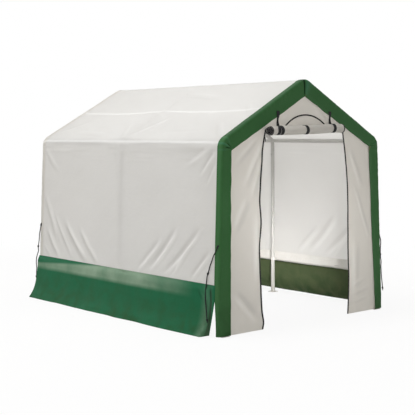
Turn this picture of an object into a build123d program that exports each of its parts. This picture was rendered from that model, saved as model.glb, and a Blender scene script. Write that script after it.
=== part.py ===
"""Walk-in greenhouse tunnel: three steel tube ribs under a sewn sheet cover, with its front door rolled up.

X runs across the tunnel, Y from the front gable to the rear one, and Z up from the ground.
The origin is on the ground, at the centre of the whole outline. Lengths are in millimetres.
"""

import os
from math import atan2, cos, hypot, pi, radians, sin, tan

from build123d import *

# Frame of the tunnel: what sets its size
leg_span = 1785.0
rib_spacing = 1250.0
eave_height = 1468.0
roof_rise = 492.0
tube_diameter = 35.0
tube_wall = 1.2
bend_radius = 78.0

# Clearances, and how far a cutting shape runs past what it cuts
seat_gap = 0.3
spigot_gap = 0.25
overrun = 20.0

# Bent tube fittings: arm from the crossing of two tubes to the shoulder, and what plugs into the next tube
fitting_arm = 110.0
fitting_stub = 70.0
spigot_length = 60.0
spigot_wall = 1.6
stub_drop = 0.6

# Foot plate under each leg, with two anchor holes on the line across the tunnel
foot_width = 76.0
foot_depth = 64.0
foot_thickness = 3.0
anchor_spacing = 54.0
anchor_hole_diameter = 9.0

# Cover rail, a tube in a pocket along the foot of each side wall, and the saddle that ties it to each leg
rail_height = 320.0
pocket_rise = 62.0
rail_end_inset = 55.0
saddle_thickness = 2.0
saddle_height = 26.0
saddle_ear = 14.0

# Sheet cover. The gable sheets hang clear of the foot plates, and the trim's band is deeper at the peak
fabric = 3.0
ground_clearance = 5.0
trim_width = 100.0
trim_peak_drop = 37.0
trim_depth = 42.0
trim_round = 18.0

# Loose skirt below the pocket: it leans out to a knee and kicks out to the ground. It ends short of the front
skirt_lean = 48.0
skirt_knee_height = 84.0
skirt_kick = 42.0
skirt_top_radius = 220.0
skirt_knee_radius = 130.0
skirt_front_inset = 66.0
skirt_rear_inset = 6.0

# Doorway in the front gable, with its head above the eave. The sheets beside it are drawn apart at the ground
door_width_top = 900.0
door_width_ground = 1020.0
door_head_rise = 88.0
zip_width = 14.0

# Half-moon vent over the door and in the rear gable
vent_gap = 22.0
vent_rise = 105.0
vent_width = 510.0
piping_width = 9.0

# Rolled door over the door's head, and the straps that hold it up. Two straps hang from the gable trim
roll_overhang = 3.0
roll_radius = 36.0
roll_rise = 12.0
roll_turns = 3
roll_core_radius = 11.0
strap_thickness = 2.0
strap_width = 24.0
strap_spacing = 600.0
strap_overlap = 30.0
middle_strap_place = -20.0
strap_pair_spacing = 45.0

# Corner cords: the cord, its knot, the sewn loop it hangs from and the share of a run that a bend takes.
# A route is drawn for the right side, as distance out, distance in from the gable's face, and height.
# The front left cord lies over the skirt's end, and the others hang at the gable's edge
cord_diameter = 8.0
knot_diameter = 18.0
knot_seat = 1.5
loop_diameter = 8.2
loop_length = 16.0
cord_bend_share = 0.45
skirt_cord_route = [
    (945.2, 30.0, 672.0),
    (947.0, 48.0, 640.0),
    (949.2, 72.0, 606.0),
    (950.6, 86.0, 570.0),
    (952.2, 106.0, 530.0),
    (954.0, 118.0, 490.0),
    (956.2, 136.0, 450.0),
    (959.0, 136.0, 412.0),
    (962.6, 140.0, 372.0),
    (965.0, 144.0, 332.0),
    (969.0, 141.0, 292.0),
    (979.5, 126.0, 242.0),
    (990.0, 105.0, 192.0),
    (1005.0, 82.0, 138.0),
]
front_edge_cord_route = [
    (944.9, 20.0, 668.0),
    (947.2, 13.0, 632.0),
    (957.0, 8.0, 598.0),
    (957.5, 9.0, 562.0),
    (952.5, 9.0, 526.0),
    (952.0, 9.0, 487.0),
    (954.0, 9.0, 448.0),
    (961.0, 7.0, 411.0),
    (959.0, 9.0, 373.0),
    (961.0, 8.0, 330.0),
    (966.0, 9.0, 281.0),
    (972.0, 8.0, 233.0),
    (979.0, 8.0, 184.0),
]
rear_edge_cord_route = [
    (944.9, 20.0, 668.0),
    (947.6, 13.0, 630.0),
    (952.5, 6.0, 588.0),
    (951.5, 1.0, 545.0),
    (954.0, -3.0, 504.0),
    (961.0, -5.0, 466.0),
    (956.0, -3.0, 430.0),
    (970.0, -6.0, 392.0),
    (980.0, -7.0, 352.0),
    (982.0, -5.0, 312.0),
    (977.0, -4.0, 272.0),
    (979.0, -6.0, 232.0),
    (980.0, -5.0, 196.0),
]

# Derived places
tube_radius = tube_diameter / 2
tube_bore = tube_radius - tube_wall
spigot_radius = tube_bore - spigot_gap
half_span = leg_span / 2
pitch = atan2(roof_rise, half_span)
peak_height = eave_height + roof_rise
sheet_inner = tube_radius + seat_gap
sheet_outer = sheet_inner + fabric
rail_out = half_span + tube_radius + sheet_outer + seat_gap
pocket_top = rail_height + pocket_rise
door_head = eave_height + door_head_rise
vent_base = door_head + vent_gap
roll_height = door_head + roll_rise
roll_length = door_width_top + 2 * roll_overhang

roll_reach = roll_radius + seat_gap + strap_thickness
middle_y = roll_reach
face_reach = tube_radius + seat_gap + 2 * fabric
front_face = middle_y - rib_spacing - face_reach
rear_face = middle_y + rib_spacing + face_reach
rib_places = {
    "front": middle_y - rib_spacing,
    "middle": middle_y,
    "rear": middle_y + rib_spacing,
}
bays = [("front", "middle"), ("middle", "rear")]
sides = {"left": -1, "right": 1}
middle_share = 0.5


# General helpers


def along_tunnel(profile, y_start, y_end):
    """A profile drawn as (x, z), made into a solid from y_start to y_end."""
    plane = Plane(origin=(0, y_end, 0), x_dir=(1, 0, 0), z_dir=(0, -1, 0))
    return extrude(plane * profile, y_end - y_start)


def to_left(shape):
    """The left twin of a piece on the right."""
    return mirror(shape, about=Plane.YZ)


def to_rear(shape):
    """The rear twin of a piece at the front."""
    return mirror(shape, about=Plane.XZ.offset(-middle_y))


def on_side(shape, side):
    """A piece made on the right, placed on the named side."""
    return shape if side == "right" else to_left(shape)


def disc_along(path, radius):
    """A round bar that follows a path."""
    return sweep(Plane(origin=path @ 0, z_dir=path % 0) * Circle(radius), path=path)


def bar(start, direction, length, radius):
    """A straight round bar from a point."""
    return extrude(Plane(origin=start, z_dir=direction) * Circle(radius), length)


def tube(start, end):
    """A length of frame tube between two points."""
    axis = Vector(end) - Vector(start)
    ring = Circle(tube_radius) - Circle(tube_bore)
    return extrude(Plane(origin=start, z_dir=axis) * ring, axis.length)


def set_off(points, distance):
    """The corners of a line set off to its left by a distance."""
    line = [Vector(*point) for point in points]
    normals = []
    for start, end in zip(line, line[1:]):
        way = (end - start).normalized()
        normals.append(Vector(-way.Y, way.X))
    moved = [line[0] + normals[0] * distance]
    for corner, before, after in zip(line[1:], normals, normals[1:]):
        moved.append(corner + (before + after) * (distance / (1 + before.dot(after))))
    moved.append(line[-1] + normals[-1] * distance)
    return moved


def band(points, radii, thickness):
    """A strip of sheet on the left of a line that turns left at every corner, with rounded corners."""
    near = FilletPolyline(*points, radius=radii)
    far = FilletPolyline(*set_off(points, thickness), radius=[radius - thickness for radius in radii])
    ends = [Line(near @ 0, far @ 0), Line(near @ 1, far @ 1)]
    return make_face(near.edges() + far.edges() + ends)


# Outline of the cover across the tunnel, at a distance from the tube lines


def wall_x(offset, height):
    """How far out the side of the cover is at a height: it leans from the eave out to the cover rail."""
    lean = (rail_out - half_span) / (eave_height - rail_height)
    return half_span + lean * (eave_height - height) + offset * hypot(1, lean)


def eave_point(offset):
    """Where the side and the slope of the cover would meet without the bend."""
    lean = (rail_out - half_span) / (eave_height - rail_height)
    slope_top = peak_height + offset / cos(pitch)
    side_at_ground = wall_x(offset, 0)
    height = (slope_top - side_at_ground * tan(pitch)) / (1 - lean * tan(pitch))
    return (wall_x(offset, height), height)


def outline(offset, bottom):
    """The filled shape of the tunnel's cross section, at a distance from the tube lines."""
    eave_x, eave_z = eave_point(offset)
    foot_x = wall_x(offset, bottom)
    ridge_z = peak_height + offset / cos(pitch)
    points = [(foot_x, bottom), (eave_x, eave_z), (0, ridge_z), (-eave_x, eave_z), (-foot_x, bottom)]
    shape = make_face(Polyline(*points, close=True))
    bends = [v for v in shape.vertices() if v.Y > eave_height - bend_radius]
    return fillet(bends, bend_radius + offset)


def half_plane_above(height):
    """A wide rectangle that covers all of the cross section above a height."""
    width = 2 * (wall_x(sheet_outer, 0) + skirt_lean + skirt_kick + overrun)
    top = peak_height + sheet_outer + bend_radius
    return Pos(0, (height + top) / 2) * Rectangle(width, top - height)


def right_half():
    """A wide rectangle that covers the right half of the cross section."""
    width = wall_x(sheet_outer, 0) + overrun
    top = peak_height + sheet_outer + bend_radius
    return Pos(width / 2, top / 2) * Rectangle(width, top + 2 * overrun)


# Tube frame


def slope_direction(side):
    """Up the rafter of one side."""
    return Vector(-sides[side] * cos(pitch), 0, sin(pitch))


def eave_centre(side, rib):
    """Where the leg's and the rafter's centre lines cross."""
    return Vector(sides[side] * half_span, rib_places[rib], eave_height)


def ridge_centre(rib):
    """Where the two rafters' centre lines cross."""
    return Vector(0, rib_places[rib], peak_height)


def eave_path(side, rib):
    """Centre line of the bent fitting at the eave, from leg to rafter."""
    centre = eave_centre(side, rib)
    foot = centre - Vector(0, 0, fitting_arm)
    return FilletPolyline(foot, centre, centre + slope_direction(side) * fitting_arm, radius=bend_radius)


def ridge_path(rib):
    """Centre line of the bent fitting at the ridge, from rafter to rafter."""
    centre = ridge_centre(rib)
    left = centre - slope_direction("left") * fitting_arm
    return FilletPolyline(left, centre, centre - slope_direction("right") * fitting_arm, radius=bend_radius)


def bent_fitting(path, rail_ways):
    """A hollow fitting bent along a path, with a stub for each rail and a spigot in every open end."""
    middle = path @ middle_share
    bore = spigot_radius - spigot_wall
    reach = spigot_length + overrun
    start, start_way = path @ 0, path % 0 * -1
    end, end_way = path @ 1, path % 1
    body = disc_along(path, tube_radius)
    hollow = disc_along(path, bore)
    for point, way in ((start, start_way), (end, end_way)):
        body += bar(point, way, spigot_length, spigot_radius)
        hollow += bar(point, way, reach, bore)
    for side in rail_ways:
        way = Vector(0, side, 0)
        shoulder = middle + way * fitting_stub
        body += bar(middle, way, fitting_stub, tube_radius - stub_drop)
        body += bar(shoulder, way, spigot_length, spigot_radius)
        hollow += bar(middle, way, fitting_stub + reach, bore - stub_drop)
    return body - hollow


def rail_ways(rib):
    """Which ways along the tunnel a rib's fittings hold a rail: 1 is to the rear, -1 to the front."""
    ways = {"front": [1], "middle": [1, -1], "rear": [-1]}
    return ways[rib]


def rail_between(path_of):
    """A rail in two lengths, from rib to rib, along the middles of the fittings that path_of gives."""
    lengths = []
    for near, far in bays:
        start = path_of(near) @ middle_share + Vector(0, fitting_stub, 0)
        end = path_of(far) @ middle_share - Vector(0, fitting_stub, 0)
        lengths.append(tube(start, end))
    return lengths[0] + lengths[1]


def foot_plate(side, rib):
    """A flat plate with the spigot that stands in the leg."""
    place = Pos(sides[side] * half_span, rib_places[rib], 0)
    holes = [Pos(x, 0) * Circle(anchor_hole_diameter / 2) for x in (-anchor_spacing / 2, anchor_spacing / 2)]
    plate = extrude(Rectangle(foot_width, foot_depth) - holes, foot_thickness)
    spigot = Circle(spigot_radius) - Circle(spigot_radius - spigot_wall)
    return place * (plate + Pos(0, 0, foot_thickness) * extrude(spigot, spigot_length))


def rail_saddle(side, rib):
    """A strap bent round the leg, with two ears that lie on the rail's pocket."""
    inner = tube_radius + seat_gap
    outer = inner + saddle_thickness
    ears = Pos(tube_radius - saddle_thickness / 2, 0) * Rectangle(saddle_thickness, 2 * (outer + saddle_ear))
    bow = Circle(outer) + Pos(tube_radius / 2, 0) * Rectangle(tube_radius, 2 * outer)
    leg_room = Circle(inner) + Pos(tube_radius, 0) * Rectangle(2 * tube_radius, 2 * inner)
    clear_of_pocket = Pos(tube_radius - outer, 0) * Rectangle(2 * outer, 4 * (outer + saddle_ear))
    strap = extrude((bow + ears - leg_room) & clear_of_pocket, saddle_height)
    return on_side(Pos(half_span, rib_places[rib], rail_height - saddle_height / 2) * strap, side)


def add_frame(nodes):
    """Legs, rafters, rails, fittings and feet."""
    eave_fittings, ridge_fittings, feet = [], [], []
    for rib in rib_places:
        ridge_fittings.append(bent_fitting(ridge_path(rib), rail_ways(rib)))
        for side in sides:
            corner = eave_centre(side, rib)
            slope = slope_direction(side)
            foot = Vector(corner.X, corner.Y, foot_thickness)
            nodes[f"{rib}_{side}_leg"] = tube(foot, corner - Vector(0, 0, fitting_arm))
            rafter_end = ridge_centre(rib) - slope * fitting_arm
            nodes[f"{rib}_{side}_rafter"] = tube(corner + slope * fitting_arm, rafter_end)
            eave_fittings.append(bent_fitting(eave_path(side, rib), rail_ways(rib)))
            feet.append(foot_plate(side, rib))
    nodes["ridge_rail"] = rail_between(ridge_path)
    for side in sides:
        nodes[f"{side}_eave_rail"] = rail_between(lambda rib, side=side: eave_path(side, rib))
        rail_x = sides[side] * rail_out
        rail_front = Vector(rail_x, front_face + rail_end_inset, rail_height)
        rail_rear = Vector(rail_x, rear_face - rail_end_inset, rail_height)
        nodes[f"{side}_cover_rail"] = tube(rail_front, rail_rear)
    nodes["eave_fittings"] = Compound(eave_fittings)
    nodes["ridge_fittings"] = Compound(ridge_fittings)
    nodes["foot_plates"] = Compound(feet)
    nodes["rail_saddles"] = Compound([rail_saddle(side, "middle") for side in sides])


# Main cover: side walls, roof slopes, rail pockets and skirts


def cover_section():
    """The sheet's cut face across the tunnel, on the right, from the ground line to the ridge."""
    bottom = -overrun
    return (outline(sheet_outer, bottom) - outline(sheet_inner, bottom)) & right_half()


def pocket_section():
    """The sleeve round the cover rail, hung from the lower edge of the wall sheet."""
    top_out = (wall_x(sheet_outer, pocket_top), pocket_top)
    top_in = (wall_x(sheet_inner, pocket_top), pocket_top)
    rail_side = (rail_out + sheet_outer, rail_height)
    leg_side = (rail_out - sheet_outer, rail_height)
    below = (rail_out, rail_height - sheet_outer)
    edges = [
        Line(top_out, rail_side),
        ThreePointArc(rail_side, below, leg_side),
        Line(leg_side, top_in),
        Line(top_in, top_out),
    ]
    sleeve = make_face(edges)
    room = Pos(rail_out, rail_height) * Circle(sheet_inner)
    wedge_top = (wall_x(sheet_inner, pocket_top - 2 * fabric) - fabric, pocket_top - 2 * fabric)
    wedge = make_face(
        Polyline(
            (rail_out + sheet_inner, rail_height),
            wedge_top,
            (rail_out - sheet_inner, rail_height),
            close=True,
        )
    )
    return sleeve - room - wedge


def skirt_section():
    """The skirt's cut face: sewn on over the pocket, it leans out to its knee and kicks out to the ground."""
    knee_x = rail_out + sheet_outer + skirt_lean
    points = [
        (wall_x(sheet_outer, pocket_top), pocket_top),
        (wall_x(sheet_outer, rail_height), rail_height),
        (knee_x, skirt_knee_height),
        (knee_x + skirt_kick, 0),
    ]
    return band(points, [skirt_top_radius, skirt_knee_radius], fabric) & half_plane_above(0)


def add_cover(nodes):
    """The sheets that run along the tunnel."""
    bend_drop = bend_radius * tan((pi / 2 - pitch) / 2)
    bend_start = eave_height - bend_drop
    section = cover_section()
    start, end = front_face + trim_depth, rear_face - trim_depth
    slope = along_tunnel(section & half_plane_above(bend_start), start, end)
    wall = along_tunnel((section & half_plane_above(pocket_top)) - half_plane_above(bend_start), start, end)
    pocket = along_tunnel(pocket_section(), start, end)
    skirt = along_tunnel(skirt_section(), front_face + skirt_front_inset, rear_face - skirt_rear_inset)
    for side in sides:
        nodes[f"{side}_roof_sheet"] = on_side(slope, side)
        nodes[f"{side}_wall_sheet"] = on_side(wall, side)
        nodes[f"{side}_rail_pocket"] = on_side(pocket, side)
        nodes[f"{side}_skirt"] = on_side(skirt, side)


# Gables: trim, sheets, vents and the doorway


def trim_edge():
    """Corners of the gable trim's inner edge on the right: at the eave and at the peak."""
    offset = sheet_outer - trim_width
    return eave_point(offset), (0, peak_height + offset / cos(pitch) - trim_peak_drop)


def trim_window(bottom):
    """The opening that the gable trim's inner edge goes round."""
    (eave_x, eave_z), peak = trim_edge()
    foot_x = wall_x(sheet_outer - trim_width, bottom)
    points = [(foot_x, bottom), (eave_x, eave_z), peak, (-eave_x, eave_z), (-foot_x, bottom)]
    return make_face(Polyline(*points, close=True))


def gable_trim():
    """The front edge of the cover: it turns round the rib's tube and lies on the gable as a flat band."""
    bottom = -overrun
    back = front_face + trim_depth
    shell = along_tunnel(outline(sheet_outer, bottom), front_face, back)
    rim = shell.faces().sort_by(Axis.Y)[0].edges().filter_by(lambda edge: edge.center().Z > 0)
    shell = fillet(rim, trim_round)
    room = along_tunnel(outline(sheet_inner, bottom), front_face + fabric, back + overrun)
    room_rim = room.faces().sort_by(Axis.Y)[0].edges().filter_by(lambda edge: edge.center().Z > 0)
    room = fillet(room_rim, trim_round - fabric)
    window = along_tunnel(trim_window(bottom), front_face - overrun, back)
    above_ground = along_tunnel(half_plane_above(ground_clearance), front_face - overrun, back + overrun)
    return (shell - room - window) & above_ground


def gable_outline():
    """The gable sheet's own outline, which ends inside the rounding of the trim."""
    edge = sheet_inner - (trim_round - fabric) - seat_gap
    return outline(edge, ground_clearance)


def door_shape():
    """The doorway from the ground to its head, wider at the ground."""
    half_top, half_ground = door_width_top / 2, door_width_ground / 2
    points = [(-half_ground, 0), (half_ground, 0), (half_top, door_head), (-half_top, door_head)]
    return make_face(Polyline(*points, close=True))


def vent_radius():
    """Radius of the vent's arc, from its width and rise."""
    half_width = vent_width / 2
    return (half_width**2 + vent_rise**2) / (2 * vent_rise)


def vent_segment(grow):
    """The half-moon between the vent's base and its arc, grown all round."""
    radius = vent_radius()
    centre_z = vent_base + vent_rise - radius
    return Pos(0, centre_z) * Circle(radius + grow) & half_plane_above(vent_base - grow)


def vent_piping():
    """The bound edge along the vent's arc."""
    radius = vent_radius()
    centre_z = vent_base + vent_rise - radius
    band = Circle(radius + piping_width / 2) - Circle(radius - piping_width / 2)
    return Pos(0, centre_z) * band & half_plane_above(vent_base)


def door_zip():
    """The zip along the right edge of the doorway, on the face of the sheet."""
    half_top, half_ground = door_width_top / 2, door_width_ground / 2
    points = [
        (half_ground, ground_clearance),
        (half_ground + zip_width, ground_clearance),
        (half_top + zip_width, door_head),
        (half_top, door_head),
    ]
    return make_face(Polyline(*points, close=True))


def add_gables(nodes):
    """Both gables, with the front one open at the door."""
    sheet_front = front_face + fabric
    sheet_back = sheet_front + fabric
    outline_face = gable_outline()
    head = half_plane_above(door_head)
    vent_hole = vent_segment(0)

    trim = gable_trim()
    flap = along_tunnel(vent_segment(-seat_gap), sheet_front, sheet_back)
    piping = along_tunnel(vent_piping(), front_face, sheet_front)
    wings = (outline_face - head - door_shape()) & right_half()
    wing = along_tunnel(wings, sheet_front, sheet_back)
    zip_strip = along_tunnel(door_zip(), front_face, sheet_front)

    nodes["front_trim"] = trim
    nodes["rear_trim"] = to_rear(trim)
    nodes["front_gable_sheet"] = along_tunnel((outline_face & head) - vent_hole, sheet_front, sheet_back)
    nodes["rear_gable_sheet"] = to_rear(along_tunnel(outline_face - vent_hole, sheet_front, sheet_back))
    nodes["vent_flaps"] = Compound([flap, to_rear(flap)])
    nodes["vent_pipings"] = Compound([piping, to_rear(piping)])
    for side in sides:
        nodes[f"front_{side}_wing"] = on_side(wing, side)
    nodes["door_zips"] = Compound([zip_strip, to_left(zip_strip)])


# Rolled door


def roll_section():
    """The rolled door seen from its end: half turns of growing radius about two centres."""
    pitch_of_turns = (roll_radius - roll_core_radius) / roll_turns
    swing = pitch_of_turns / 4
    outer, inner = [], []
    for half_turn in range(2 * roll_turns):
        way = 1 if half_turn % 2 == 0 else -1
        radius = roll_radius - swing - half_turn * pitch_of_turns / 2
        centre = swing * way
        for edges, reach in ((outer, radius), (inner, radius - fabric)):
            start = (centre + way * reach, 0)
            top = (centre, way * reach)
            end = (centre - way * reach, 0)
            edges.append(ThreePointArc(start, top, end))
    ends = [Line(outer[0] @ 0, inner[0] @ 0), Line(outer[-1] @ 1, inner[-1] @ 1)]
    return make_face(outer + inner + ends)


def along_roll(profile, length):
    """A profile drawn as (y, z) about the roll's centre, made into a solid across the doorway."""
    centre = (-length / 2, front_face - roll_reach, roll_height)
    return extrude(Plane(origin=centre, x_dir=(0, 1, 0), z_dir=(1, 0, 0)) * profile, length)


def trim_edge_height(x):
    """Height of the gable trim's inner edge, at a distance from the middle."""
    (eave_x, eave_z), (_, peak_z) = trim_edge()
    return peak_z - x * (peak_z - eave_z) / eave_x


def roll_strap(with_tail):
    """A strap round the roll. One with a tail hangs from the gable trim."""
    loop = Circle(roll_reach) - Circle(roll_reach - strap_thickness)
    if with_tail:
        tail = trim_edge_height(strap_spacing / 2) + strap_overlap - roll_height
        loop += Pos(roll_reach - strap_thickness / 2, tail / 2) * Rectangle(strap_thickness, tail)
    return along_roll(loop, strap_width)


def add_rolled_door(nodes):
    """The door rolled up over the doorway, in its straps."""
    nodes["rolled_door"] = along_roll(roll_section(), roll_length)
    hung = roll_strap(with_tail=True)
    plain = roll_strap(with_tail=False)
    places = [(-strap_spacing / 2, hung), (strap_spacing / 2, hung)]
    places += [(middle_strap_place, plain), (-strap_spacing / 2 - strap_pair_spacing, plain)]
    nodes["roll_straps"] = Compound([Pos(x, 0, 0) * strap for x, strap in places])


# Corner cords


def cord_radii(points):
    """A bend at each inner point as large as its two runs allow."""
    radii = []
    for before, point, after in zip(points, points[1:], points[2:]):
        runs = (point - before, after - point)
        turn = runs[0].get_angle(runs[1])
        shorter = min(run.length for run in runs)
        radii.append(cord_bend_share * shorter / tan(radians(turn) / 2))
    return radii


def cord_path(route):
    """Centre line of a cord at the front right corner, from its place on the trim."""
    points = [Vector(x, front_face + back, z) for x, back, z in route]
    return FilletPolyline(*points, radius=cord_radii(points))


def cord_knot(path):
    """The stopper knot at the cord's lower end."""
    end, direction = path @ 1, path % 1
    ball = Pos(*(end + direction * (knot_diameter / 2 - knot_seat))) * Sphere(knot_diameter / 2)
    return ball - bar(end - direction * knot_diameter, direction, knot_diameter, knot_diameter)


def add_cords(nodes):
    """A cord at each corner of the cover, with its knot and the loop it hangs from."""
    corners = {
        "front_right": (front_edge_cord_route, lambda shape: shape),
        "front_left": (skirt_cord_route, to_left),
        "rear_right": (rear_edge_cord_route, to_rear),
        "rear_left": (rear_edge_cord_route, lambda shape: to_rear(to_left(shape))),
    }
    knots, loops = [], []
    for corner, (route, place) in corners.items():
        path = cord_path(route)
        print(corner, "cord length", round(path.length, 1))
        nodes[f"{corner}_cord"] = place(disc_along(path, cord_diameter / 2))
        knots.append(place(cord_knot(path)))
        loops.append(place(bar(path @ 0, path % 0 * -1, loop_length, loop_diameter / 2)))
    nodes["cord_knots"] = Compound(knots)
    nodes["cord_loops"] = Compound(loops)


def build():
    """Every piece of the greenhouse by the name of its node."""
    nodes = {}
    add_frame(nodes)
    add_cover(nodes)
    add_gables(nodes)
    add_rolled_door(nodes)
    add_cords(nodes)
    return nodes


os.makedirs("parts", exist_ok=True)
for name, shape in build().items():
    export_step(shape, f"parts/{name}.step")
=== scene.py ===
"""Dresses the walk-in greenhouse tunnel: its sewn cover, gables, rolled door, zips, cords and tube frame.

Every object is in metres in the model's own frame: X across the tunnel, Y from the front gable to the rear
one, and Z up from the ground. Sheets are grids of points that follow the tube lines of the frame, with folds
added as geometry. Small rigid pieces are modelled from primitives in edit mode.
"""

from __future__ import annotations

import logging
import math
from contextlib import contextmanager
from dataclasses import dataclass, replace
from enum import Enum
from typing import Callable, Iterator, Sequence

import bmesh
import bpy
import numpy as np
from mathutils import Matrix, Vector

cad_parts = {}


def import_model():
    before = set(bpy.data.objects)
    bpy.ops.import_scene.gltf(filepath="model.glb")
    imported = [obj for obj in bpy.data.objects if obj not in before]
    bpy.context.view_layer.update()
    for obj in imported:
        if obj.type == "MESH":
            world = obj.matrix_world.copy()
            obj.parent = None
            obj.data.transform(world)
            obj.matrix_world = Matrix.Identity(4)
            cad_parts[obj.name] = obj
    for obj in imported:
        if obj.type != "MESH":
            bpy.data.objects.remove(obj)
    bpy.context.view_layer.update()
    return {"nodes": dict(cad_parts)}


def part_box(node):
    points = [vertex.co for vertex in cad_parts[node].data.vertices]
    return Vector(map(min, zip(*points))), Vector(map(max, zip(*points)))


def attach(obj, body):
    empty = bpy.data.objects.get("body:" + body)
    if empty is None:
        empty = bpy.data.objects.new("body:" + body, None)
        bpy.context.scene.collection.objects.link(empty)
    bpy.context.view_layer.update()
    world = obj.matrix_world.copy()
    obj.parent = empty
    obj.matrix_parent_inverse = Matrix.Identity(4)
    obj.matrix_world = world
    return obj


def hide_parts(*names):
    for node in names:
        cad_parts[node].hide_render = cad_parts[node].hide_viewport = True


LOG = logging.getLogger("greenhouse")
BODY = "root"
STEPS_PER_RUN = 24
FULL_WHITE = (1.0, 1.0, 1.0)
FORWARDS = (0.0, -1.0, 0.0)
ALONG = (0.0, 1.0, 0.0)

Array = np.ndarray
Piece = bpy.types.Object
Material = bpy.types.Material
Tree = bpy.types.NodeTree
Node = bpy.types.Node
Socket = bpy.types.NodeSocket
Inputs = dict[str | int, object]
Place = tuple[float, float]
Spot = tuple[float, float, float]
Colour = tuple[float, float, float]


class Named(Enum):
    """A choice that the model's nodes name in small letters."""

    @property
    def word(self) -> str:
        """The choice as the model's nodes spell it."""
        return self.name.lower()


class Side(Named):
    """A long side of the tunnel, by the sign of its X."""

    LEFT = -1
    RIGHT = 1


class End(Named):
    """A gable end, by the way along Y that leads into the tunnel."""

    FRONT = 1
    REAR = -1


# Lines and folds that the sheets are shaped with


def ease(value: Array, start: float, end: float) -> Array:
    """A smooth rise from 0 at the start to 1 at the end."""
    share = np.clip((value - start) / (end - start), 0.0, 1.0)
    return share * share * (3.0 - 2.0 * share)


def hump(value: Array, middle: float, width: float) -> Array:
    """A soft bump of height 1, sunk to about a third at its width from the middle."""
    return np.exp(-(((value - middle) / width) ** 2))


def unit(ways: Array) -> Array:
    """Directions of length 1."""
    return ways / np.linalg.norm(ways, axis=-1, keepdims=True)


def measured(steps: Array) -> Array:
    """The distance gone at the start and after each step."""
    return np.concatenate([[0.0], np.cumsum(steps)])


def smooth_line(corners: Sequence[Sequence[float]], count: int) -> Array:
    """Points at even distances on a smooth line through a few given ones.

    Args:
        corners: The points that the line goes through.
        count: How many points to give back.

    Returns:
        An array of points, with as many coordinates as the corners have.
    """
    given = np.asarray(corners, float)
    ends = np.vstack([2 * given[0] - given[1], given, 2 * given[-1] - given[-2]])
    share = np.linspace(0.0, 1.0, STEPS_PER_RUN, endpoint=False)[:, None]
    runs = []
    for before, start, stop, after in zip(ends, ends[1:], ends[2:], ends[3:]):
        rise, fall, gap = (stop - before) / 2, (after - start) / 2, stop - start
        bend, twist = 3 * gap - 2 * rise - fall, rise + fall - 2 * gap
        runs.append(start + share * rise + share**2 * bend + share**3 * twist)
    line = np.vstack([*runs, given[-1:]])
    travelled = measured(np.linalg.norm(np.diff(line, axis=0), axis=1))
    wanted = np.linspace(0.0, travelled[-1], count)
    return np.column_stack([np.interp(wanted, travelled, axis) for axis in line.T])


@dataclass(frozen=True)
class Fold:
    """A soft ridge in a sheet with a shallow valley beside it, from one place on the sheet to another."""

    start: Place
    end: Place
    width: float
    height: float
    bow: float = 0.0
    valley: Spot = (0.5, 1.7, 1.2)
    rise: Place = (-0.12, 0.3)
    fade: Place = (0.6, 1.12)

    def lift(self, across: Array, up: Array) -> Array:
        """How far the fold lifts the sheet.

        Args:
            across: First coordinate of the sheet's points.
            up: Second coordinate of the sheet's points.

        Returns:
            The lift at each point.
        """
        way = np.subtract(self.end, self.start)
        length = float(np.hypot(*way))
        way = way / length
        out_across, out_up = across - self.start[0], up - self.start[1]
        along = (out_across * way[0] + out_up * way[1]) / length
        aside = out_up * way[0] - out_across * way[1] - self.bow * np.sin(np.pi * np.clip(along, 0.0, 1.0))
        depth, place, width = self.valley
        ridge = hump(aside, 0.0, self.width) - depth * hump(aside, place * self.width, width * self.width)
        return self.height * ridge * (ease(along, *self.rise) * (1.0 - ease(along, *self.fade)))


@dataclass(frozen=True)
class Slack:
    """The shallow unevenness of a hung sheet, as waves that run in seeded directions."""

    seed: int
    wavelength: float
    amount: float
    stretch: float = 1.0
    waves: int = 11
    spread: Place = (0.6, 1.6)

    def lift(self, across: Array, up: Array) -> Array:
        """How far the unevenness lifts the sheet.

        Args:
            across: First coordinate of the sheet's points.
            up: Second coordinate of the sheet's points, stretched before it is read.

        Returns:
            The lift at each point.
        """
        chance = np.random.RandomState(self.seed)
        total = np.zeros(np.broadcast(across, up).shape)
        for _ in range(self.waves):
            angle = chance.uniform(0.0, math.pi)
            number = 2 * math.pi / (self.wavelength * chance.uniform(*self.spread))
            phase = chance.uniform(0.0, 2 * math.pi)
            place = across * math.cos(angle) + up * self.stretch * math.sin(angle)
            total = total + np.sin(number * place + phase)
        return self.amount * total / math.sqrt(self.waves)

    def along(self, places: Array) -> Array:
        """The unevenness along a single line."""
        return self.lift(places, places * 0.0)


def lifted(shapes: Sequence[Fold | Slack], across: Array, up: Array) -> Array:
    """The lift of several folds together, at places across and up a sheet."""
    return sum(shape.lift(across, up) for shape in shapes)


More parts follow.
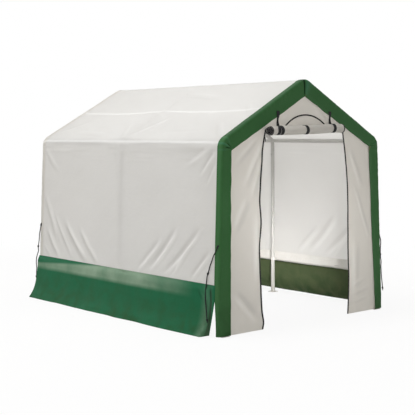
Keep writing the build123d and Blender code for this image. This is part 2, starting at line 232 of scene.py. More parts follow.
@dataclass(frozen=True)
class TunnelForm:
    """The tube lines that the cover is stretched over, and where its pieces lie."""

    half_span: float
    ribs: Spot
    front_face: float
    rear_face: float
    rail_out: float
    rail_height: float
    pocket_top: float
    eave_height: float = 1.468
    roof_rise: float = 0.492
    bend_radius: float = 0.078
    sheet_inner: float = 0.0178
    sheet_outer: float = 0.0208
    trim_depth: float = 0.042
    trim_width: float = 0.100
    trim_peak_drop: float = 0.037

    @classmethod
    def from_frame(cls) -> TunnelForm:
        """The form with its places read from the model's nodes.

        Returns:
            The form.
        """
        middles = [sum(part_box(f"{rib}_right_leg"), Vector()) / 2 for rib in ("front", "middle", "rear")]
        rail = sum(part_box("right_cover_rail"), Vector()) / 2
        return cls(
            half_span=middles[0].x,
            ribs=tuple(middle.y for middle in middles),
            front_face=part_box("front_trim")[0].y,
            rear_face=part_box("rear_trim")[1].y,
            rail_out=rail.x,
            rail_height=rail.z,
            pocket_top=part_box("right_wall_sheet")[0].z,
        )

    @property
    def pitch(self) -> float:
        """Slope of the roof, in radians."""
        return math.atan2(self.roof_rise, self.half_span)

    @property
    def lean(self) -> float:
        """Lean of the side walls out from upright, in radians."""
        return math.atan2(self.rail_out - self.half_span, self.eave_height - self.rail_height)

    @property
    def turn(self) -> float:
        """Angle of the bend at the eave, in radians."""
        return math.pi / 2 - self.lean - self.pitch

    @property
    def peak_height(self) -> float:
        """Height at which the two slopes' tube lines cross."""
        return self.eave_height + self.roof_rise

    @property
    def middle_y(self) -> float:
        """Place of the middle rib."""
        return self.ribs[1]

    @property
    def runs(self) -> Spot:
        """Lengths of the half ridge bend, the straight slope and the eave bend."""
        slope = math.hypot(self.half_span, self.roof_rise)
        slope -= self.bend_radius * (math.tan(self.pitch) + math.tan(self.turn / 2))
        return self.bend_radius * self.pitch, slope, self.bend_radius * self.turn

    @property
    def eave_along(self) -> float:
        """Distance from the ridge to the middle of the eave's bend."""
        ridge, slope, eave = self.runs
        return ridge + slope + eave / 2

    @property
    def trim_edge(self) -> Spot:
        """Where the trim's inner edge turns.

        Returns:
            X and Z of the turn at the eave, and Z of the one at the peak.
        """
        offset = self.sheet_outer - self.trim_width
        top = self.slope_z(offset, 0.0)
        height = top - self.wall_x(offset, 0.0) * math.tan(self.pitch)
        height = height / (1.0 - math.tan(self.lean) * math.tan(self.pitch))
        return self.wall_x(offset, height), height, top - self.trim_peak_drop

    def face(self, end: End) -> float:
        """Where the outer face of a gable lies along Y."""
        return self.front_face if end is End.FRONT else self.rear_face

    def between_trims(self, gap: float) -> Place:
        """Where a side's sheet starts and stops along Y, at a distance from the trims' edges."""
        return self.front_face + self.trim_depth + gap, self.rear_face - self.trim_depth - gap

    def along_at(self, height: float) -> float:
        """Distance from the ridge along the tube line to a height on the wall."""
        down = (self.eave_height - height) / math.cos(self.lean) - self.bend_radius * math.tan(self.turn / 2)
        return sum(self.runs) + down

    def wall_x(self, offset: float, height: Array | float) -> Array | float:
        """How far out the wall is, at a distance from the tube line and a height."""
        leaned = math.tan(self.lean) * (self.eave_height - height)
        return self.half_span + leaned + offset / math.cos(self.lean)

    def slope_z(self, offset: float, across: Array | float) -> Array | float:
        """How high the roof's slope is, at a distance from the tube line and from the middle."""
        return self.peak_height + offset / math.cos(self.pitch) - np.abs(across) * math.tan(self.pitch)

    def section(self, along: Array, offset: Array | float) -> tuple[Array, ...]:
        """Points of the cross section.

        Args:
            along: Distance from the ridge along the tube line, negative to the left.
            offset: Distance out from the tube line.

        Returns:
            The points' x and z, and the x and z of the way out of the tunnel there.
        """
        way, far = np.sign(along), np.abs(along)
        ridge, slope, eave = self.runs
        radius, rise, run = self.bend_radius, math.sin(self.pitch), math.cos(self.pitch)
        angle = np.clip(far, 0.0, ridge) / radius + np.clip(far - ridge - slope, 0.0, eave) / radius
        out_x, out_z = np.sin(angle), np.cos(angle)
        start_x, start_z = radius * rise, self.peak_height - radius * math.tan(self.pitch) * rise
        on_slope = np.clip(far - ridge, 0.0, slope)
        x = np.where(far > ridge, start_x + on_slope * run, radius * out_x)
        z = np.where(far > ridge, start_z - on_slope * rise, self.peak_height - radius / run + radius * out_z)
        bent = far > ridge + slope
        x = np.where(bent, start_x + slope * run + radius * (out_x - rise), x)
        z = np.where(bent, start_z - slope * rise + radius * (out_z - run), z)
        down = np.maximum(far - ridge - slope - eave, 0.0)
        x, z = x + down * math.sin(self.lean), z - down * math.cos(self.lean)
        return way * (x + offset * out_x), z + offset * out_z, way * out_x, out_z


# Making and settling of pieces


def only(piece: Piece) -> None:
    """Makes one object the selected and active one."""
    bpy.ops.object.select_all(action="DESELECT")
    piece.select_set(True)
    bpy.context.view_layer.objects.active = piece


@contextmanager
def edited(piece: Piece) -> Iterator[None]:
    """Holds a piece in edit mode while its faces are worked on.

    Args:
        piece: The piece to work on.

    Yields:
        Nothing.
    """
    only(piece)
    bpy.ops.object.mode_set(mode="EDIT")
    bpy.ops.mesh.select_mode(type="FACE")
    yield
    bpy.ops.object.mode_set(mode="OBJECT")


def new_piece(name: str, points: Array, faces: Sequence, measure: Array | None = None) -> Piece:
    """A mesh object from points and faces, with an optional flat measure as its UV map.

    Args:
        name: Name of the piece.
        points: One row of x, y, z per point.
        faces: Lists of point numbers.
        measure: One row of two coordinates per point, in metres.

    Returns:
        The new object, at the origin.
    """
    mesh = bpy.data.meshes.new(name)
    mesh.from_pydata(np.asarray(points, float).tolist(), [], [list(map(int, face)) for face in faces])
    if measure is not None:
        corners = np.zeros(len(mesh.loops), np.int32)
        mesh.loops.foreach_get("vertex_index", corners)
        layer = mesh.uv_layers.new(name="FlatMeasure")
        layer.uv.foreach_set("vector", np.asarray(measure, np.float32)[corners].ravel())
    mesh.update()
    piece = bpy.data.objects.new(name, mesh)
    bpy.context.scene.collection.objects.link(piece)
    return piece


def finish_with(piece: Piece, kind: str, **values: object) -> None:
    """Puts a modifier on a piece and applies it.

    Args:
        piece: The piece to change.
        kind: The modifier's type.
        **values: The modifier's settings.
    """
    only(piece)
    modifier = piece.modifiers.new(kind.title(), kind)
    for key, value in values.items():
        setattr(modifier, key, value)
    bpy.ops.object.modifier_apply(modifier=modifier.name)


def shade(piece: Piece, degrees: float = 45.0) -> None:
    """Shades a piece smooth, with hard edges where faces turn by more than an angle."""
    only(piece)
    bpy.ops.object.shade_smooth_by_angle(angle=math.radians(degrees))


def thicken(piece: Piece, thickness: float, fold: Array | None = None) -> None:
    """Gives a sheet its thickness, with the second material on its inner face.

    Args:
        piece: The sheet, one layer of faces.
        thickness: Thickness of the cloth, which lies behind the faces.
        fold: How far each point is folded out, kept as the Fold attribute, from which the finish paints
            highlight on ridges and shade in valleys.
    """
    outer = len(piece.data.polygons)
    if fold is not None:
        layer = piece.data.attributes.new("Fold", "FLOAT", "POINT")
        layer.data.foreach_set("value", np.asarray(fold, np.float32).ravel())
    finish_with(piece, "SOLIDIFY", thickness=thickness, offset=-1.0)
    for face in list(piece.data.polygons)[outer : 2 * outer]:
        face.material_index = 1
    shade(piece)


def settle(piece: Piece, slot: str, finishes: Sequence[Material], *nodes: str) -> Piece:
    """Gives a piece its finishes and its body, and hides the nodes that it stands for.

    Args:
        piece: The finished piece.
        slot: The record's material slot; not used.
        finishes: Materials in the order of the mesh's slots.
        *nodes: Names of the nodes that the piece replaces.

    Returns:
        The same piece.
    """
    for finish in finishes:
        piece.data.materials.append(finish)
    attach(piece, BODY)
    if nodes:
        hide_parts(*nodes)
    LOG.info("%s: %d faces", piece.name, len(piece.data.polygons))
    return piece


def quads(points: Array, inside: Array | Sequence[float], first: int = 0) -> Array:
    """Faces between the points of a grid, turned away from what is inside.

    Args:
        points: The grid of points.
        inside: A point behind the grid, or one for each of its points.
        first: Number of the grid's first point.

    Returns:
        One row of four point numbers per face.
    """
    rows, columns = points.shape[:2]
    number = np.arange(rows * columns).reshape(rows, columns) + first
    faces = np.dstack([number[:-1, :-1], number[:-1, 1:], number[1:, 1:], number[1:, :-1]]).reshape(-1, 4)
    one, other = points[:-1, 1:] - points[:-1, :-1], points[1:, :-1] - points[:-1, :-1]
    out = (points - np.asarray(inside, float))[:-1, :-1]
    return faces[:, ::-1] if (np.cross(one, other) * out).sum() < 0 else faces


@dataclass
class Cloth:
    """A sheet of cloth on a grid of points, with its flat measure in metres as UV map."""

    name: str
    points: Array
    inside: Array | Sequence[float]
    thickness: float = 0.0012
    measure: Array | None = None
    # How far each point is folded out, which the finish turns into painted highlight and painted shade.
    fold: Array | None = None

    def flat_measure(self) -> Array:
        """The cloth laid flat: distance along its columns and rows.

        Returns:
            A grid of two coordinates per point.
        """
        if self.measure is not None:
            return self.measure
        rows = np.linalg.norm(np.diff(self.points, axis=0), axis=2).mean(1)
        columns = np.linalg.norm(np.diff(self.points, axis=1), axis=2).mean(0)
        return np.dstack(np.meshgrid(measured(columns), measured(rows)))

    def size(self) -> Place:
        """Width and length of the flat cloth."""
        flat = self.flat_measure()
        return float(np.ptp(flat[..., 0])), float(np.ptp(flat[..., 1]))

    def area(self) -> float:
        """Area of the cloth's outer face."""
        one, other = self.points[1:, 1:] - self.points[:-1, :-1], self.points[1:, :-1] - self.points[:-1, 1:]
        return float(np.linalg.norm(np.cross(one, other), axis=2).sum() / 2)

    def hang(self, slot: str, finishes: Sequence[Material], *nodes: str) -> Piece:
        """The cloth as a closed mesh of its thickness, which lies inside the given points.

        Args:
            slot: The record's material slot.
            finishes: Materials of the outer and the inner face, or one for both.
            *nodes: Names of the nodes that the cloth replaces.

        Returns:
            The new object.
        """
        faces = quads(self.points, self.inside)
        piece = new_piece(self.name, self.points.reshape(-1, 3), faces, self.flat_measure().reshape(-1, 2))
        thicken(piece, self.thickness, self.fold)
        return settle(piece, slot, finishes * 2 if len(finishes) == 1 else finishes, *nodes)


# Finishes


class Graph:
    """A node tree under construction, with short calls that add and join nodes."""

    def __init__(self, tree: Tree) -> None:
        """Takes the tree to write into."""
        self.tree = tree

    def put(self, socket: Socket, value: object) -> None:
        """Joins a socket to another, or sets its own value.

        Args:
            socket: The input to fill.
            value: Socket, number or tuple. A colour has no alpha.
        """
        if isinstance(value, Socket):
            self.tree.links.new(value, socket)
        else:
            socket.default_value = (*value, 1.0) if socket.type == "RGBA" else value

    def fill(self, node: Node, inputs: Inputs) -> Node:
        """Fills a node's inputs.

        Args:
            node: The node.
            inputs: Values or sockets by the names or numbers of the node's inputs.

        Returns:
            The same node.
        """
        for key, value in inputs.items():
            self.put(node.inputs[key], value)
        return node

    def add(self, kind: str, inputs: Inputs | None = None, **settings: object) -> Node:
        """Adds a node.

        Args:
            kind: The node's type, without its prefix.
            inputs: Values or sockets by the names or numbers of the node's inputs.
            **settings: The node's own properties.

        Returns:
            The new node.
        """
        node = self.tree.nodes.new(f"ShaderNode{kind}")
        for key, value in settings.items():
            setattr(node, key, value)
        return self.fill(node, inputs or {})

    def calc(self, operation: str, *values: object, clamp: bool = False) -> Socket:
        """Adds a math node on numbers or sockets, held between 0 and 1 where that is asked."""
        return self.add("Math", dict(enumerate(values)), operation=operation, use_clamp=clamp).outputs[0]

    def blend(self, share: object, first: object, second: object) -> Socket:
        """Adds a mix of two colours, by the share of the second one."""
        return self.add("Mix", {0: share, 6: first, 7: second}, data_type="RGBA").outputs[2]

    def span(self, value: object, low: float, high: float, to_low: float, to_high: float) -> Socket:
        """Adds a range node that maps one span onto another and stays within it."""
        inputs = {"Value": value, "From Min": low, "From Max": high, "To Min": to_low, "To Max": to_high}
        return self.add("MapRange", inputs).outputs[0]

    def noise(self, vector: object, scale: object, detail: float = 2.0, warp: float = 0.0) -> Socket:
        """Adds a noise texture and gives the socket of its value."""
        inputs = {"Vector": vector, "Scale": scale, "Detail": detail, "Distortion": warp}
        return self.add("TexNoise", inputs).outputs[0]

    def axes(self, vector: Socket) -> Sequence[Socket]:
        """Splits a vector into its three coordinates."""
        return self.add("SeparateXYZ", {"Vector": vector}).outputs

    def effect(self, name: str, vector: Socket, **values: float) -> dict[str, Socket]:
        """Adds a shared effect with its values, and gives its outputs by their names."""
        group = bpy.data.node_groups[name]
        return self.add("Group", {"Vector": vector, **values}, node_tree=group).outputs

    def bump(self, height: Socket, distance: float, strength: float = 1.0, **before: Socket) -> Socket:
        """Adds relief of a depth in metres, on top of the Normal that is given."""
        inputs = {"Height": height, "Distance": distance, "Strength": strength, **before}
        return self.add("Bump", inputs).outputs[0]

    def coordinates(self) -> Socket:
        """Adds the piece's own coordinates."""
        return self.add("TexCoord").outputs["Object"]

    def flat_map(self) -> Socket:
        """Adds the piece's flat measure."""
        return self.add("UVMap", uv_map="FlatMeasure").outputs[0]

    def dress(self, inputs: dict[str, object]) -> Socket:
        """Fills the main shader's inputs and gives its output."""
        return self.fill(self.tree.nodes["Principled BSDF"], inputs).outputs[0]

    def mix_out(self, share: object, first: Socket, second: Socket, output: str = "Material Output") -> None:
        """Joins a mix of two shaders to the output node."""
        mix = self.add("MixShader", {"Fac": share, 1: first, 2: second})
        self.fill(self.tree.nodes[output], {"Surface": mix.outputs[0]})

    def seen(self) -> Socket:
        """Adds a mask that is 1 for what the camera sees, directly, mirrored or through glass."""
        rays = self.add("LightPath").outputs
        indirect = self.calc("MAXIMUM", rays["Is Glossy Ray"], rays["Is Transmission Ray"])
        return self.calc("MAXIMUM", rays["Is Camera Ray"], indirect)


class SharedEffects:
    """Node groups that several finishes use, each kept under its name."""

    def build(self) -> None:
        """Builds every group once."""
        for make in (self.weave, self.crumple, self.dust, self.scuffs, self.tapes, self.rubs):
            make()

    @staticmethod
    def start(name: str, values: Sequence[str], outputs: Sequence[str]) -> tuple[Graph, dict, dict]:
        """Starts a group that takes a vector and some values.

        Args:
            name: Name of the effect.
            values: Names of the values that it takes.
            outputs: Names of the outputs, which are all values.

        Returns:
            The group's graph, what it is given and what it gives, by their names.
        """
        tree = bpy.data.node_groups.new(name, "ShaderNodeTree")
        tree.interface.new_socket(name="Vector", in_out="INPUT", socket_type="NodeSocketVector")
        for way, labels in (("INPUT", values), ("OUTPUT", outputs)):
            for label in labels:
                tree.interface.new_socket(name=label, in_out=way, socket_type="NodeSocketFloat")
        given = tree.nodes.new("NodeGroupInput").outputs
        return Graph(tree), given, tree.nodes.new("NodeGroupOutput").inputs

    def weave(self) -> None:
        """Flat tapes woven over and under each other, with a tone for each stretch of tape."""
        graph, given, result = self.start("tape_weave", ["Pitch"], ["Height", "Tone"])
        calc = graph.calc
        scale = calc("DIVIDE", 1.0, given["Pitch"])
        scaled = graph.add("VectorMath", {"Scale": scale, 0: given["Vector"]}, operation="SCALE")
        across, up = graph.axes(scaled.outputs[0])[:2]
        ridges = [calc("ABSOLUTE", calc("SINE", calc("MULTIPLY", part, math.pi))) for part in (across, up)]
        cells = [calc("FLOOR", part) for part in (across, up)]
        turn = calc("FLOORED_MODULO", calc("ADD", *cells), 2.0)
        over = calc("MULTIPLY", turn, calc("SUBTRACT", ridges[1], ridges[0]))
        stretch = 0.04
        warp = graph.add("CombineXYZ", {"X": cells[0], "Y": calc("MULTIPLY", up, stretch)})
        weft = graph.add("CombineXYZ", {"X": calc("MULTIPLY", across, stretch), "Y": cells[1]})
        tones = [graph.noise(place.outputs[0], 0.9, 1.0) for place in (warp, weft)]
        graph.put(result["Height"], calc("ADD", ridges[0], over))
        graph.put(result["Tone"], calc("MULTIPLY", calc("ADD", *tones), 0.5))

    def crumple(self) -> None:
        """Shallow dents with finer creases between them, as a coated sheet keeps them from its packing."""
        graph, given, result = self.start("packing_creases", ["Size"], ["Height"])
        calc = graph.calc
        scale = calc("DIVIDE", 1.0, given["Size"])
        dents = graph.noise(given["Vector"], scale, 2.0, 0.6)
        lines = graph.noise(given["Vector"], calc("MULTIPLY", scale, 1.9), 2.0, 1.1)
        apart = calc("ABSOLUTE", calc("SUBTRACT", lines, 0.5))
        crease = calc("SUBTRACT", 1.0, calc("POWER", calc("MULTIPLY", apart, 2.0), 0.55))
        both = calc("ADD", calc("MULTIPLY", dents, 0.65), calc("MULTIPLY", crease, 0.35))
        graph.put(result["Height"], both)

    def dust(self) -> None:
        """Dust and splashes that thin out upwards from the ground."""
        graph, given, result = self.start("ground_dust", ["Reach"], ["Mask"])
        calc = graph.calc
        height = graph.axes(given["Vector"])[2]
        low = calc("SUBTRACT", 1.0, calc("DIVIDE", height, given["Reach"]), clamp=True)
        patches = graph.span(graph.noise(given["Vector"], 9.0, 5.0, 0.4), 0.38, 0.72, 0.15, 1.0)
        specks = graph.span(graph.noise(given["Vector"], 160.0), 0.6, 0.72, 0.0, 0.5)
        cover = calc("ADD", patches, specks, clamp=True)
        graph.put(result["Mask"], calc("MULTIPLY", calc("POWER", low, 1.4), cover))

    def tapes(self) -> None:
        """A sewn tape along each roof slope, and a painted highlight along each eave."""
        graph, given, result = self.start("sewn_tapes", ["Seam", "Eave", "Half"], ["Mask"])
        calc = graph.calc
        x, _, z = graph.axes(given["Vector"])
        seam = calc("SUBTRACT", calc("ABSOLUTE", x), given["Seam"])
        eave = calc("SUBTRACT", z, given["Eave"])
        near = calc("MINIMUM", calc("ABSOLUTE", seam), calc("ABSOLUTE", eave))
        graph.put(result["Mask"], graph.span(calc("DIVIDE", near, given["Half"]), 0.6, 1.0, 0.6, 0.0))

    def rubs(self) -> None:
        """A painted sheen along the top of a skirt, over its rail, and a painted highlight down its front
        corner.
        """
        graph, given, result = self.start("painted_skirt_sheen", ["Low", "High", "Corner"], ["Mask"])
        calc = graph.calc
        _, y, z = graph.axes(given["Vector"])
        rise = calc("DIVIDE", calc("SUBTRACT", z, given["Low"]), 0.035, clamp=True)
        high = calc("ADD", given["High"], graph.span(y, 1.25, 0.0, 0.0, 0.085))
        fall = calc("DIVIDE", calc("SUBTRACT", high, z), 0.02, clamp=True)
        patches = graph.span(graph.noise(given["Vector"], 3.0, 3.0, 0.3), 0.3, 0.6, 0.45, 1.0)
        band = calc("MULTIPLY", calc("MULTIPLY", rise, fall), patches)
        behind = calc("SUBTRACT", y, given["Corner"])
        band = calc("MULTIPLY", band, graph.span(behind, 0.16, 0.72, 0.0, 1.0))
        near = graph.span(calc("ABSOLUTE", behind), 0.0, 0.075, 0.5, 0.0)
        corner = calc("MULTIPLY", near, graph.span(z, 0.02, 0.36, 1.0, 0.3))
        graph.put(result["Mask"], calc("MAXIMUM", band, corner))

    def scuffs(self) -> None:
        """Fine scratches and rubbed patches."""
        graph, given, result = self.start("handling_scuffs", ["Size"], ["Mask"])
        scale = graph.calc("DIVIDE", 1.0, given["Size"])
        stretched = graph.add("Mapping", {"Vector": given["Vector"], "Scale": (9.0, 9.0, 0.7)})
        scratches = graph.span(graph.noise(stretched.outputs[0], scale, 3.0), 0.6, 0.68, 0.0, 1.0)
        patches = graph.noise(given["Vector"], graph.calc("MULTIPLY", scale, 0.4), 4.0)
        rubs = graph.span(patches, 0.5, 0.75, 0.0, 1.0)
        graph.put(result["Mask"], graph.calc("MULTIPLY", scratches, rubs))


@dataclass(frozen=True)
class Finish:
    """A finish in two tones, which becomes one material."""

    name: str
    main: Colour
    second: Colour
    roughness: Place

    def material(self) -> Material:
        """Builds the finish.

        Returns:
            The material.
        """
        material = bpy.data.materials.new(self.name)
        material.use_nodes = True
        self.draw(Graph(material.node_tree))
        return material

    def draw(self, graph: Graph) -> None:
        """Draws the finish into its material's graph."""
        raise NotImplementedError


@dataclass(frozen=True)
class SheetFinish(Finish):
    """Coated woven sheet: tapes, packing creases and ground dust, with some light passing through, painted
    highlight on fold ridges and painted shade in fold valleys.
    """

    dust: Colour
    passing: Colour
    passing_share: float
    specular: float
    dust_share: float
    dust_reach: float = 0.45
    tape_pitch: float = 0.0024
    tape_relief: float = 0.00025
    crease_size: float = 0.09
    crease_relief: float = 0.0022
    # Painted highlight laid on fold ridges and painted shade laid in fold valleys.
    crest_highlight: Colour = (0.97, 0.97, 0.96)
    groove: Colour = (0.60, 0.595, 0.58)
    # An optional band of colour: a sewn tape with a painted eave highlight on the cover, a painted sheen on
    # the skirt.
    tape_and_highlight: Colour | None = None
    tape_and_highlight_effect: str = "sewn_tapes"
    tape_and_highlight_places: tuple[tuple[str, float], ...] = ()

    def draw(self, graph: Graph) -> None:
        """Draws the finish into its material's graph.

        Args:
            graph: The material's graph.
        """
        place = graph.coordinates()
        weave = graph.effect("tape_weave", graph.flat_map(), Pitch=self.tape_pitch)
        crumple = graph.effect("packing_creases", place, Size=self.crease_size)["Height"]
        dust = graph.effect("ground_dust", place, Reach=self.dust_reach)["Mask"]
        clouds = graph.span(graph.noise(place, 2.3, 3.0, 0.3), 0.35, 0.65, 0.0, 0.45)
        tone = graph.calc("ADD", graph.span(weave["Tone"], 0.3, 0.7, 0.0, 0.55), clouds)
        cloth = graph.blend(tone, self.main, self.second)
        # Painted highlight on the ridges and painted shade in the valleys, from how far the folds lift the
        # cloth.
        fold = graph.add("Attribute", attribute_name="Fold").outputs["Fac"]
        cloth = graph.blend(graph.span(fold, 0.001, 0.007, 0.0, 0.75), cloth, self.crest_highlight)
        cloth = graph.blend(graph.span(fold, -0.0005, -0.0028, 0.0, 0.9), cloth, self.groove)
        share: object = self.passing_share
        # The band: tape and painted highlight on the cover, painted sheen on the skirt; it lets less light
        # through.
        if self.tape_and_highlight:
            mask = graph.effect(self.tape_and_highlight_effect, place, **dict(self.tape_and_highlight_places))["Mask"]
            cloth = graph.blend(mask, cloth, self.tape_and_highlight)
            share = graph.span(mask, 0.0, 1.0, self.passing_share, self.passing_share * 0.5)
        # Dust on the white sheets; on the green sheets a darker green, painted shade low down.
        dust_and_shade = graph.calc("MULTIPLY", dust, self.dust_share)
        rough = graph.span(crumple, 0.25, 0.75, *self.roughness)
        creased = graph.bump(crumple, self.crease_relief)
        coat = graph.dress(
            {
                "Base Color": graph.blend(dust_and_shade, cloth, self.dust),
                "Roughness": graph.calc("ADD", rough, graph.calc("MULTIPLY", dust_and_shade, 0.25), clamp=True),
                "Normal": graph.bump(weave["Height"], self.tape_relief, 0.6, Normal=creased),
                "Specular IOR Level": self.specular,
            }
        )
        light = graph.add("BsdfTranslucent", {"Color": self.passing, "Normal": creased})
        graph.mix_out(share, coat, light.outputs[0])


@dataclass(frozen=True)
class CoatedTubeFinish(Finish):
    """Powder coat on steel tube: fine orange peel, rubbed patches and dust low down."""

    dust: Colour
    scuff_size: float = 0.05
    dust_reach: float = 0.25
    grain_size: float = 0.0016
    grain_relief: float = 0.00012

    def draw(self, graph: Graph) -> None:
        """Draws the finish into its material's graph.

        Args:
            graph: The material's graph.
        """
        place = graph.coordinates()
        scuffs = graph.effect("handling_scuffs", place, Size=self.scuff_size)["Mask"]
        dust = graph.effect("ground_dust", place, Reach=self.dust_reach)["Mask"]
        clouds = graph.span(graph.noise(place, 14.0, 3.0), 0.35, 0.7, 0.0, 0.35)
        coat = graph.blend(clouds, self.main, self.second)
        worn = graph.blend(graph.calc("MULTIPLY", scuffs, 0.7), coat, self.second)
        graph.dress(
            {
                "Base Color": graph.blend(graph.calc("MULTIPLY", dust, 0.4), worn, self.dust),
                "Roughness": graph.span(clouds, 0.0, 0.35, *self.roughness),
                "Normal": graph.bump(graph.noise(place, 1.0 / self.grain_size), self.grain_relief, 0.5),
            }
        )


@dataclass(frozen=True)
class WebbingFinish(Finish):
    """Woven tape or braid in one colour, with fuzz and light wear on its ridges."""

    pitch: float
    relief: float
    specular: float = 0.25

    def draw(self, graph: Graph) -> None:
        """Draws the finish into its material's graph.

        Args:
            graph: The material's graph.
        """
        weave = graph.effect("tape_weave", graph.flat_map(), Pitch=self.pitch)
        fuzz = graph.span(graph.noise(graph.coordinates(), 900.0), 0.35, 0.7, 0.1, 0.8)
        wear = graph.calc("MULTIPLY", graph.span(weave["Height"], 0.6, 1.0, 0.0, 1.0), fuzz)
        graph.dress(
            {
                "Base Color": graph.blend(wear, self.main, self.second),
                "Roughness": graph.span(weave["Tone"], 0.3, 0.7, *self.roughness),
                "Normal": graph.bump(weave["Height"], self.relief, 0.9),
                "Specular IOR Level": self.specular,
            }
        )


@dataclass(frozen=True)
class MouldedFinish(Finish):
    """Moulded plastic or plated metal: fine grain, small scratches and a soft gloss."""

    metallic: float = 0.0
    scuff_size: float = 0.012
    grain_relief: float = 0.00008

    def draw(self, graph: Graph) -> None:
        """Draws the finish into its material's graph.

        Args:
            graph: The material's graph.
        """
        place = graph.coordinates()
        scuffs = graph.effect("handling_scuffs", place, Size=self.scuff_size)["Mask"]
        scuffs = graph.calc("MULTIPLY", scuffs, 0.6)
        clouds = graph.noise(place, 60.0, 3.0)
        share = graph.calc("ADD", scuffs, graph.span(clouds, 0.4, 0.7, 0.0, 0.3), clamp=True)
        graph.dress(
            {
                "Base Color": graph.blend(share, self.main, self.second),
                "Roughness": graph.span(clouds, 0.3, 0.7, *self.roughness),
                "Normal": graph.bump(graph.noise(place, 1400.0), self.grain_relief, 0.5),
                "Metallic": self.metallic,
            }
        )


EARTH = (0.42, 0.37, 0.29)
WHITE_SHEET = SheetFinish(
    "white_ripstop_sheet", (0.785, 0.77, 0.74), (0.73, 0.715, 0.685), (0.46, 0.6), EARTH,
    (0.875, 0.86, 0.83), 0.60, 0.4, 0.2,
)
# The green sheets' dust colour is a darker green, laid from the ground up at share 0.8: painted shade that
# darkens them towards the bottom, where the flaring skirt faces up into the light.
SKIRT_SHEET = SheetFinish(
    "green_skirt_sheet", (0.009, 0.112, 0.048), (0.013, 0.124, 0.056), (0.34, 0.44), (0.026, 0.070, 0.026),
    (0.03, 0.12, 0.05), 0.04, 0.05, 0.8,
    # Painted highlight on the skirt's fold ridges and painted shade in its fold valleys.
    crest_highlight=(0.05, 0.17, 0.09),
    groove=(0.004, 0.022, 0.008),
    # Pale band: painted sheen along the skirt's top over the rail, and painted highlight down its front
    # corner.
    tape_and_highlight=(0.235, 0.335, 0.24),
    tape_and_highlight_effect="painted_skirt_sheen",
    tape_and_highlight_places=(("Low", 0.262), ("High", 0.335), ("Corner", -1.110)),
)
# Skirt and trim are one green fabric given two colours: the skirt's bluer green is a painted reflection of
# the sky.
TRIM_SHEET = replace(
    SKIRT_SHEET,
    name="green_trim_sheet",
    main=(0.036, 0.118, 0.039),
    second=(0.045, 0.134, 0.048),
    tape_and_highlight=None,
)
FINISHES: dict[str, Finish] = {
    "white": WHITE_SHEET,
    "cover": replace(
        WHITE_SHEET,
        name="white_cover_sheet",
        main=(0.785, 0.782, 0.772),
        second=(0.73, 0.727, 0.717),
        passing=(0.875, 0.867, 0.852),
        # Pale band: a sewn tape along each roof slope and a painted highlight along each eave.
        tape_and_highlight=(0.95, 0.95, 0.94),
        tape_and_highlight_places=(("Seam", 0.452), ("Eave", 1.4685), ("Half", 0.012)),
    ),
    # Rail pocket sleeve: it lets little light through, as a doubled layer does, and its whiter colour is
    # painted light that brightens it as seen from inside.
    "pocket": replace(WHITE_SHEET, name="white_pocket_painted_light", main=(0.92, 0.91, 0.89), passing_share=0.08),
    "skirt": SKIRT_SHEET,
    "trim": TRIM_SHEET,
    # Inner face of the green sheets: a paler olive that paints in daylight shining through the sheet.
    "inner_glow": replace(
        TRIM_SHEET,
        name="green_sheet_lining",
        main=(0.10, 0.13, 0.063),
        second=(0.112, 0.143, 0.072),
        roughness=(0.5, 0.62),
    ),
    "net": replace(
        WHITE_SHEET,
        name="vent_net",
        main=(0.88, 0.86, 0.83),
        second=(0.80, 0.78, 0.75),
        passing_share=0.55,
        roughness=(0.6, 0.75),
        tape_pitch=0.0032,
        tape_relief=0.0006,
    ),
    "steel": CoatedTubeFinish(
        "frame_powder_coat", (0.60, 0.595, 0.58), (0.50, 0.495, 0.48), (0.34, 0.5), EARTH
    ),
    "fitting": CoatedTubeFinish(
        "fitting_powder_coat", (0.57, 0.565, 0.55), (0.46, 0.455, 0.44), (0.38, 0.52), EARTH
    ),
    "webbing": WebbingFinish(
        "black_webbing", (0.006, 0.006, 0.007), (0.020, 0.020, 0.021), (0.62, 0.8), 0.0016, 0.0004
    ),
    "cord": WebbingFinish(
        "black_braid", (0.005, 0.005, 0.006), (0.016, 0.016, 0.017), (0.62, 0.8), 0.0012, 0.0003
    ),
    "plastic": MouldedFinish("white_plastic", (0.74, 0.73, 0.70), (0.6, 0.59, 0.56), (0.36, 0.5)),
    "teeth": MouldedFinish("zip_coil", (0.012, 0.012, 0.013), (0.06, 0.06, 0.06), (0.3, 0.45)),
    "plated": MouldedFinish("zinc_plate", (0.52, 0.52, 0.50), (0.38, 0.38, 0.36), (0.3, 0.42), 0.9),
}


@dataclass
class SubAssembly:
    """Pieces that are shaped on the tunnel's form and dressed from one set of materials."""

    form: TunnelForm
    palette: dict[str, Material]

    def finishes(self, *names: str) -> list[Material]:
        """The materials of some finishes, by their names."""
        return [self.palette[name] for name in names]


# The sewn cover


